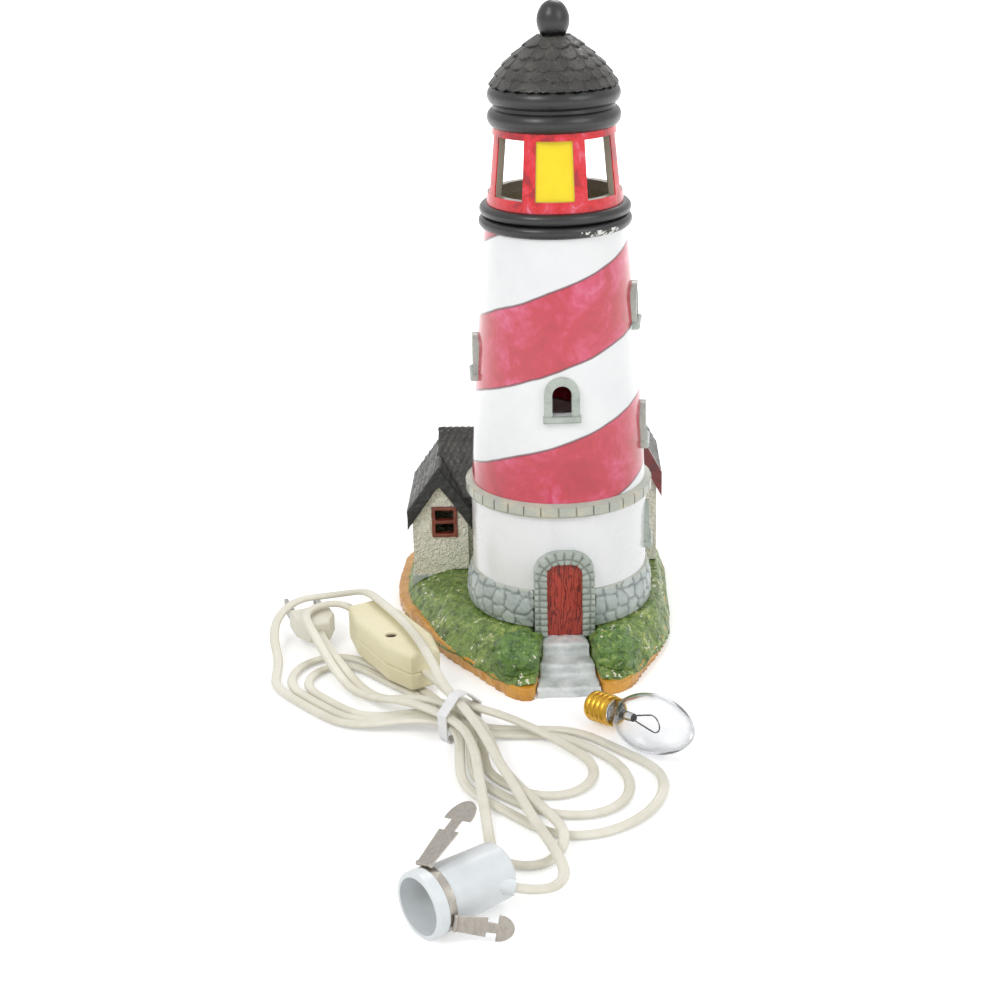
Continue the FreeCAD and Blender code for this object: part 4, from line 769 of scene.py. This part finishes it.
# side of the tie, reach, half width, length of the round end, slots at the tie
loops = [(-1, 98.0, 22.6, 23.0, 2.0, -1.0), (1, 91.0, 30.0, 22.8, 1.0, -1.0),
         (-1, 88.8, 18.1, 18.6, 1.0, 0.0), (1, 80.0, 23.4, 30.3, 0.0, 0.0),
         (-1, 79.6, 13.6, 14.2, 0.0, 1.0), (1, 62.9, 17.1, 18.9, 1.113, 1.0)]
slot_pitch, cord_rest_z, tie_lift, layer = 5.3, 1.75, 0.75, 4
loop_swell = {-1: 41.0, 1: 35.5}
right_sweep, right_sweep_length, right_fall = 11, 138, 11.1
left_rise, left_sweep, left_sweep_length = 7.9, 5, 50
cord_width, cord_core, cord_spread = 3.9, 1.1, 0.85


def bundle(point):
    """A place in the bundle's plan as a place in the frame, in metres."""
    return (tie + along * point[0] + across * point[1] + Vector((0, 0, point[2]))) * mm


def loop_point(index, t, upper):
    """One side of a loop, t from 0 at the tie to 1 at its far end."""
    side, reach, wide, end, top_slot, low_slot = loops[index]
    slot = (top_slot if upper else -low_slot) * slot_pitch
    straight = reach - end
    if t < 0.6:
        u, taper = straight * t / 0.6, 1.0
    else:
        sweep = (t - 0.6) / 0.4 * math.pi / 2
        u, taper = straight + end * math.sin(sweep), math.cos(sweep)
    grown = math.sin(math.pi / 2 * min(1, u / loop_swell[side])) ** 2
    half = (slot + (wide - slot) * grown) * taper
    if side > 0:
        middle = (right_sweep * math.sin(math.pi / 2 * u / right_sweep_length) ** 2
                  - right_fall * (u / 88) ** 2)
    else:
        middle = (left_rise * (u / 105) ** 3
                  - left_sweep * math.sin(math.pi / 2 * min(1, u / left_sweep_length)) ** 2)
    z = cord_rest_z + tie_lift / (1 + (u / 14) ** 6)
    if not upper:
        z += layer / (1 + (u / 25) ** 6)
    if index == len(loops) - 1 and upper:
        z += 2 * layer / (1 + (u / 25) ** 4)
    return side * u, middle + (half if upper else -half), z


def hank_points(steps=12):
    """The hank's route through its loops, from the lead's end to the feed's start."""
    points = [loop_point(0, 0.8 * (1 - j / steps), False) for j in range(1, steps)]
    for index, upper in zip(range(1, len(loops)), (False, True, False, True, False)):
        points += [loop_point(index, j / steps, upper) for j in range(steps)]
        points += [loop_point(index, 1 - j / steps, not upper) for j in range(steps)]
    return points


def flat_cord(name, points, replaced, **facts):
    """Twin-core flat cord along a smooth line through the route's points."""
    curve = bpy.data.curves.new(name, "CURVE")
    curve.dimensions = "3D"
    curve.twist_mode = "Z_UP"
    curve.resolution_u = 4
    line = curve.splines.new("NURBS")
    line.points.add(len(points) - 1)
    for spot, point in zip(line.points, points):
        spot.co = (*bundle(point), 1.0)
    line.order_u = 3
    line.use_endpoint_u = True
    cord = bpy.data.objects.new(name, curve)
    bpy.context.collection.objects.link(cord)
    path = bpy.data.meshes.new_from_object(cord)
    section = bpy.data.curves.new(name + "_section", "CURVE")
    section.dimensions = "2D"
    outline = section.splines.new("POLY")
    turns = [math.radians(a) for a in (-126, -90, -45, 0, 45, 90, 126)]
    ring = [(cord_spread + cord_core * math.cos(a), cord_core * math.sin(a)) for a in turns]
    ring += [(-x, y) for x, y in reversed(ring)]
    outline.points.add(len(ring) - 1)
    for spot, (x, y) in zip(outline.points, ring):
        spot.co = (x * mm, y * mm, 0, 1)
    outline.use_cyclic_u = True
    outline_object = bpy.data.objects.new(name + "_section", section)
    bpy.context.collection.objects.link(outline_object)
    curve.bevel_mode, curve.bevel_object, curve.use_fill_caps = "OBJECT", outline_object, True
    only(cord)
    bpy.ops.object.convert(target="MESH")
    cord = bpy.context.object
    bpy.data.objects.remove(outline_object)
    bpy.ops.object.mode_set(mode="EDIT")
    bpy.ops.mesh.select_all(action="SELECT")
    bpy.ops.mesh.remove_doubles(threshold=1e-6)
    bpy.ops.mesh.normals_make_consistent(inside=False)
    bpy.ops.object.mode_set(mode="OBJECT")
    bpy.ops.object.shade_smooth_by_angle(angle=math.radians(50))
    cord.data.materials.clear()
    cord.data.materials.append(finishes["cord_white"])
    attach(cord, ORNAMENT)
    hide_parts(*replaced)
    return cord


on_the_lead = [bpy.data.objects["switch_cover_" + half] for half in ("top", "bottom")]
on_the_lead += [nodes[name] for name in (
    "switch_screw", "switch_contacts", "switch_thumbwheel", "twist_tie", "socket_housing",
    "socket_screw_shell", "socket_centre_contact", "socket_insulator", "socket_clip_band",
    "clip_wing_upper", "clip_wing_lower")]
flat_cord("cord_to_switch", lead_points[:-1] + hank_points() + feed_points,
          ["cord_socket_lead", "cord_hank", "cord_switch_feed"],
          length=1.43, far_end="fitting", lay="coiled", with_pieces=on_the_lead)
flat_cord("cord_to_plug", plug_points, ["cord_switch_to_plug"],
          length=0.456, far_end="plug", lay="loose",
          with_pieces=[nodes["plug_body"], nodes["plug_blades"]])


# ------------------------------------------------------------ camera and light
def view_axes(heading, tilt, roll):
    """Right, up and forward of a camera that looks along +Y, in degrees."""
    heading, tilt, roll = (math.radians(a) for a in (heading, tilt, roll))
    forward = Vector((math.sin(heading) * math.cos(tilt),
                      math.cos(heading) * math.cos(tilt), -math.sin(tilt)))
    right = Vector((math.cos(heading), -math.sin(heading), 0))
    up = right.cross(forward)
    c, s = math.cos(roll), math.sin(roll)
    return c * right + s * up, c * up - s * right, forward


camera = bpy.data.objects.new("camera", bpy.data.cameras.new("camera"))
bpy.context.collection.objects.link(camera)
right, up, forward = view_axes(heading=-2.68, tilt=21.03, roll=-1.64)
camera.matrix_world = Matrix((
    (right.x, up.x, -forward.x, 0.0), (right.y, up.y, -forward.y, -0.7138),
    (right.z, up.z, -forward.z, 0.3301), (0, 0, 0, 1)))
camera.data.sensor_width = 36
camera.data.lens = 65.95
camera.data.shift_x, camera.data.shift_y = 0.0214, 0.0060
camera.data.clip_start, camera.data.clip_end = 0.01, 20
bpy.context.scene.camera = camera


def straight_view(n):
    """1 for rays that show the background: from the camera, mirrored or through glass."""
    rays = n.add("LightPath").outputs
    return n.math("MAXIMUM", rays["Is Camera Ray"], n.math(
        "MAXIMUM", rays["Is Glossy Ray"], rays["Is Transmission Ray"]))


bpy.ops.mesh.primitive_plane_add(size=12)
floor = bpy.context.object
floor.name = "floor"
ground = Finish("white floor")
shader = ground.shader
shader.inputs["Base Color"].default_value = (0.86, 0.86, 0.86, 1)
shader.inputs["Roughness"].default_value = 0.9
seen = straight_view(ground)
away = ground.add("VectorMath", {0: ground.place()}, operation="LENGTH").outputs["Value"]
glow = ground.math("MULTIPLY", seen, ground.step(away, 0.15, 0.6, 0.35, 1.0))
ground.put(shader.inputs["Emission Strength"], glow)
shader.inputs["Emission Color"].default_value = (1, 1, 1, 1)
floor.data.materials.append(ground.material)

world = bpy.data.worlds.new("studio")
bpy.context.scene.world = world
world.use_nodes = True
sky = Nodes(world.node_tree)
seen = straight_view(sky)
background = world.node_tree.nodes["Background"]
background.inputs["Color"].default_value = (1, 1, 1, 1)
sky.put(background.inputs["Strength"], sky.step(seen, 0.0, 1.0, 0.62, 1.0))


def lamp(name, place, size, power, aim=(0, 0, 0.1)):
    """A round soft lamp that points at the ornament."""
    light = bpy.data.lights.new(name, "AREA")
    light.shape, light.size, light.energy = "DISK", size, power
    holder = bpy.data.objects.new(name, light)
    bpy.context.collection.objects.link(holder)
    way = Vector(aim) - Vector(place)
    holder.location = place
    holder.rotation_euler = way.to_track_quat("-Z", "Y").to_euler()


lamp("key", (-0.8, -1.0, 1.3), 0.7, 8.5)
lamp("fill", (1.0, -0.9, 0.9), 0.9, 5)
lamp("rim", (0.2, 1.0, 1.2), 0.7, 5)
bpy.context.scene.view_settings.view_transform = "Standard"
